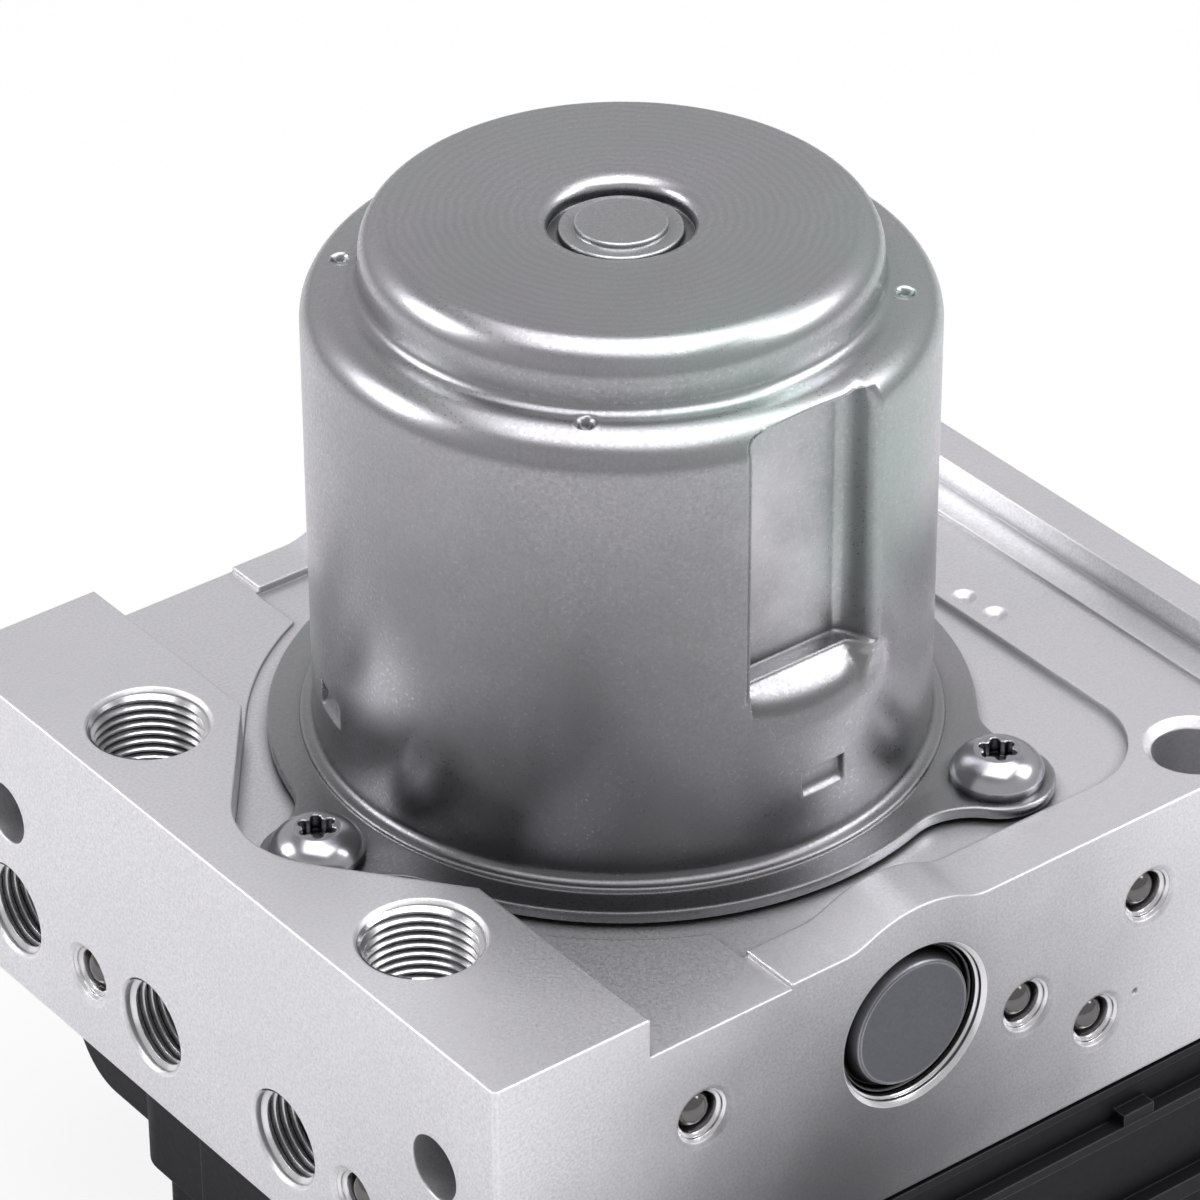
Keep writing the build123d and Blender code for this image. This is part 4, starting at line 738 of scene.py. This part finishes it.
# Drawing rings: faint circles round the motor axis, on the flat of the cap alone
ring_share = 0.25
spun, take, give = new_effect("spun", {"Rings per metre": 300.0, "From height": 0.1}, ("Mask",))
spot = lay(spun, "ShaderNodeTexCoord").outputs["Object"]
circles = lay(
    spun, "ShaderNodeTexWave",
    {"Vector": spot, "Scale": take["Rings per metre"], "Distortion": 4.0, "Detail": 3.0},
    wave_type="RINGS", rings_direction="Z",
)
above = lay(spun, "ShaderNodeSeparateXYZ", {0: spot})
on_top = lay(spun, "ShaderNodeMath", {0: above.outputs["Z"], 1: take["From height"]}, operation="GREATER_THAN")
ringed = lay(spun, "ShaderNodeMath", {0: circles.outputs[1], 1: on_top.outputs[0]}, operation="MULTIPLY")
faint = lay(spun, "ShaderNodeMath", {0: ringed.outputs[0], 1: ring_share}, operation="MULTIPLY")
spun.links.new(faint.outputs[0], give["Mask"])


def lay_tint_and_painted_light(finish, middle, reach, amount, tone):
    """Lay a patch over a finish, round a point in metres of the part's frame; used for plating tint, painted
    shade and painted reflection.
    """
    x, y, z = middle
    laid = place(finish.node_tree, tint_and_painted_light_patch, X=x, Y=y, Z=z, Reach=reach, Amount=amount)
    tint(finish, laid["Mask"], tone)


can_steel = metal_finish(
    "can_steel", (0.58, 0.57, 0.59), (0.38, 0.375, 0.39), 0.25, 0.38, grain=2600.0, contrast=2.6,
    relief=0.012, edge=0.00030, rim=(0.95, 0.95, 0.95), corner_shade=(0.08, 0.08, 0.085), clouds=(38.0, 0.7, 0.35),
)
can_tree = can_steel.node_tree
turned_rings = place(can_tree, spun, Rings_per_metre=330.0, From_height=0.1155)
uneven_plating = place(can_tree, cloud, Scale=70.0, Amount=0.35, Stretch=0.6)
specks = place(can_tree, fine_grain, Scale=700.0, Contrast=5.0)
few = lay(can_tree, "ShaderNodeMapRange", {"Value": specks["Height"], "From Min": 0.76, "From Max": 0.82})
tint(can_steel, turned_rings["Mask"], (0.30, 0.30, 0.31))
tint(can_steel, uneven_plating["Mask"], (0.40, 0.46, 0.43))
# Painted shade on the lower wall, a painted reflection on the pocket's floor, and greenish plating round it
lay_tint_and_painted_light(can_steel, (-0.022, -0.021, 0.066), 0.074, 0.95, (0.13, 0.13, 0.135))
for up in (0.086, 0.094, 0.102):
    lay_tint_and_painted_light(can_steel, (0.0, -0.018, up), 0.022, 0.62, (0.86, 0.85, 0.87))
for up in (0.092, 0.101):
    lay_tint_and_painted_light(can_steel, (0.010, -0.027, up), 0.021, 0.34, (0.40, 0.53, 0.46))
for east, north in ((-0.006, -0.0245), (0.018, -0.0175)):
    lay_tint_and_painted_light(can_steel, (east, north, 0.1125), 0.021, 0.34, (0.40, 0.53, 0.46))
tint(can_steel, few.outputs[0], (0.07, 0.07, 0.075))
can_piece = new_piece("motor_can_shell", can, can_steel, "hydraulic_unit", 42)
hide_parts("motor_can")

# Motor fixing: three pan head screws with a pressed collar and a six lobe recess, bright zinc plated.
# They clamp the can's ears and a thin black gasket onto the milled seat.
# The recess is dark inside, where no light gets in.
screw_zinc = metal_finish(
    "screw_zinc", (0.60, 0.60, 0.62), (0.42, 0.42, 0.44), 0.16, 0.28, grain=3500.0, contrast=0.9,
    relief=0.006, edge=0.00025, rim=(0.85, 0.85, 0.86), corner_shade=(0.03, 0.03, 0.035), clouds=(400.0, 0.6, 1.0),
)
seal_rubber = moulded_finish("seal_rubber", (0.022, 0.022, 0.023), (0.014, 0.014, 0.015), 0.5, 0.7)
dress(screw_zinc, 32, "motor_screws")
dress(seal_rubber, 30, "motor_gasket")

# Solenoid coils: eight bobbins of enamelled wire in pressed steel yokes, on the circuit board's upper side.
# Each one slides over a valve's sleeve when the control unit is screwed on.
# The yokes are plain cold rolled steel.
dress(core_steel, 30, "coil_yokes")
dress(enamelled_wire, 30, "coils")

# Circuit board: glass fibre laminate with green solder resist, its components and the socket's tinned pins.
# The resist shows the lines of the copper under it, and the components are black moulded resin.
board_laminate = moulded_finish("board_laminate", (0.020, 0.105, 0.045), (0.012, 0.070, 0.030), 0.25, 0.4)
board_tree = board_laminate.node_tree
spot = lay(board_tree, "ShaderNodeTexCoord").outputs["Object"]
tracks = lay(board_tree, "ShaderNodeTexBrick", {"Vector": spot, "Scale": 180.0, "Mortar Size": 0.06})
tint(board_laminate, tracks.outputs["Fac"], (0.05, 0.19, 0.08))
component_resin = moulded_finish("component_resin", (0.035, 0.035, 0.037), (0.022, 0.022, 0.024), 0.35, 0.5)
dress(board_laminate, 30, "circuit_board")
dress(component_resin, 30, "board_parts")
dress(plated_steel, 30, "connector_pins")

# Control unit: a black glass filled nylon housing and cover, welded together along a seam, with a rubber seal.
# The housing has the coils' chamber, stiffening ledges and the harness socket, and four long screws hold it.
# The mould's eroded grain gives it a soft shine, with paler edges, partly rubbed and partly painted highlight,
# and painted shade in its corners.
housing_plastic = moulded_finish(
    "housing_plastic", (0.012, 0.013, 0.015), (0.006, 0.006, 0.008), 0.40, 0.56, grain=1400.0, relief=0.03,
    rim=(0.09, 0.095, 0.105), clouds=(28.0, 0.5, 1.0),
)
housing_plastic.node_tree.nodes["Principled BSDF"].inputs["Specular IOR Level"].default_value = 0.2
dress(housing_plastic, 28, "unit_housing", "unit_cover")
dress(seal_rubber, 30, "unit_seal")
dress(screw_zinc, 32, "unit_screws")

# Studio: a pale table and even surroundings that turn darker overhead, with three soft lamps.
# One hangs above, one stands at the back left and one at the front right, for the highlights on rolled edges.
# Light Path whitens the table for the camera and a little in reflections. Its own shading keeps the shadow.
table_half = 4
table_seen, table_mirrored = 0.86, 0.03
table_mesh = bpy.data.meshes.new("table")
corners = [(x * table_half, y * table_half, 0) for x, y in ((-1, -1), (1, -1), (1, 1), (-1, 1))]
table_mesh.from_pydata(corners, [], [(0, 1, 2, 3)])
table = bpy.data.objects.new("table", table_mesh)
bpy.context.scene.collection.objects.link(table)
table_white = bpy.data.materials.new("table_white")
table_white.use_nodes = True
paper = table_white.node_tree
matt = paper.nodes["Principled BSDF"]
matt.inputs["Base Color"].default_value = (0.86, 0.86, 0.86, 1)
matt.inputs["Roughness"].default_value = 0.9
matt.inputs["Specular IOR Level"].default_value = 0.0
path = lay(paper, "ShaderNodeLightPath")
reflected = lay(
    paper, "ShaderNodeMath", {0: path.outputs["Is Glossy Ray"], 1: path.outputs["Is Transmission Ray"]},
    operation="MAXIMUM",
)
partly = lay(paper, "ShaderNodeMath", {0: reflected.outputs[0], 1: table_mirrored}, operation="MULTIPLY")
seen = lay(paper, "ShaderNodeMath", {0: path.outputs["Is Camera Ray"], 1: table_seen}, operation="MULTIPLY")
share = lay(paper, "ShaderNodeMath", {0: seen.outputs[0], 1: partly.outputs[0]}, operation="MAXIMUM")
white = lay(paper, "ShaderNodeEmission", {"Color": (1, 1, 1, 1), "Strength": 1.0})
mixed = lay(paper, "ShaderNodeMixShader", {0: share.outputs[0], 1: matt.outputs[0], 2: white.outputs[0]})
paper.links.new(mixed.outputs[0], paper.nodes["Material Output"].inputs["Surface"])
table_mesh.materials.append(table_white)

# The surroundings, dimmed for diffuse rays so that the lamps model the matt faces
sky_turns, sky_turned = 0.55, 0.85
sky_around, sky_overhead = 0.57, 0.25
diffuse_dimming = -0.68
world = bpy.data.worlds.new("studio")
bpy.context.scene.world = world
world.use_nodes = True
sky = world.node_tree
upward = lay(sky, "ShaderNodeSeparateXYZ", {0: lay(sky, "ShaderNodeTexCoord").outputs["Generated"]})
height = lay(
    sky, "ShaderNodeMapRange",
    {"Value": upward.outputs["Z"], "From Min": sky_turns, "From Max": sky_turned,
     "To Min": sky_around, "To Max": sky_overhead},
    interpolation_type="SMOOTHSTEP",
)
ray = lay(sky, "ShaderNodeLightPath")
softer = lay(
    sky, "ShaderNodeMath", {0: ray.outputs["Is Diffuse Ray"], 1: diffuse_dimming, 2: 1.0},
    operation="MULTIPLY_ADD",
)
level = lay(sky, "ShaderNodeMath", {0: height.outputs[0], 1: softer.outputs[0]}, operation="MULTIPLY")
surround = sky.nodes["Background"]
sky.links.new(level.outputs[0], surround.inputs["Strength"])
surround.inputs["Color"].default_value = (1.0, 0.985, 1.015, 1)

lamp_color = (1.0, 0.985, 1.02)
lit_middle = Vector((0, 0, 0.06))
for name, stands_at, size, power in (
    ("overhead", (0.04, -0.06, 1.0), 0.92, 8.4),
    ("behind", (-0.66, 0.56, 0.62), 0.40, 3.8),
    ("right", (0.76, -0.57, 0.82), 0.55, 6.0),
):
    lamp = bpy.data.lights.new(name, "AREA")
    lamp.size = size
    lamp.energy = power
    lamp.color = lamp_color
    light = bpy.data.objects.new(name, lamp)
    light.location = stands_at
    light.rotation_euler = (lit_middle - Vector(stands_at)).to_track_quat("-Z", "Y").to_euler()
    bpy.context.scene.collection.objects.link(light)

# The camera stands front left and looks down on the motor with a long lens, as fitted to the photograph
camera_at = (-0.3031, -0.38795, 0.3957)
camera_data = bpy.data.cameras.new("camera")
camera_data.sensor_width = 36.0
camera_data.lens = 179.22
camera_data.clip_start = 0.01
camera = bpy.data.objects.new("camera", camera_data)
turn_left = Matrix.Rotation(radians(-37.748), 4, "Z")
look_down = Matrix.Rotation(radians(90 - 33.299), 4, "X")
roll = Matrix.Rotation(radians(-0.252), 4, "Z")
camera.matrix_world = Matrix.Translation(camera_at) @ turn_left @ look_down @ roll
bpy.context.scene.collection.objects.link(camera)
bpy.context.scene.camera = camera
bpy.context.scene.view_settings.view_transform = "Standard"
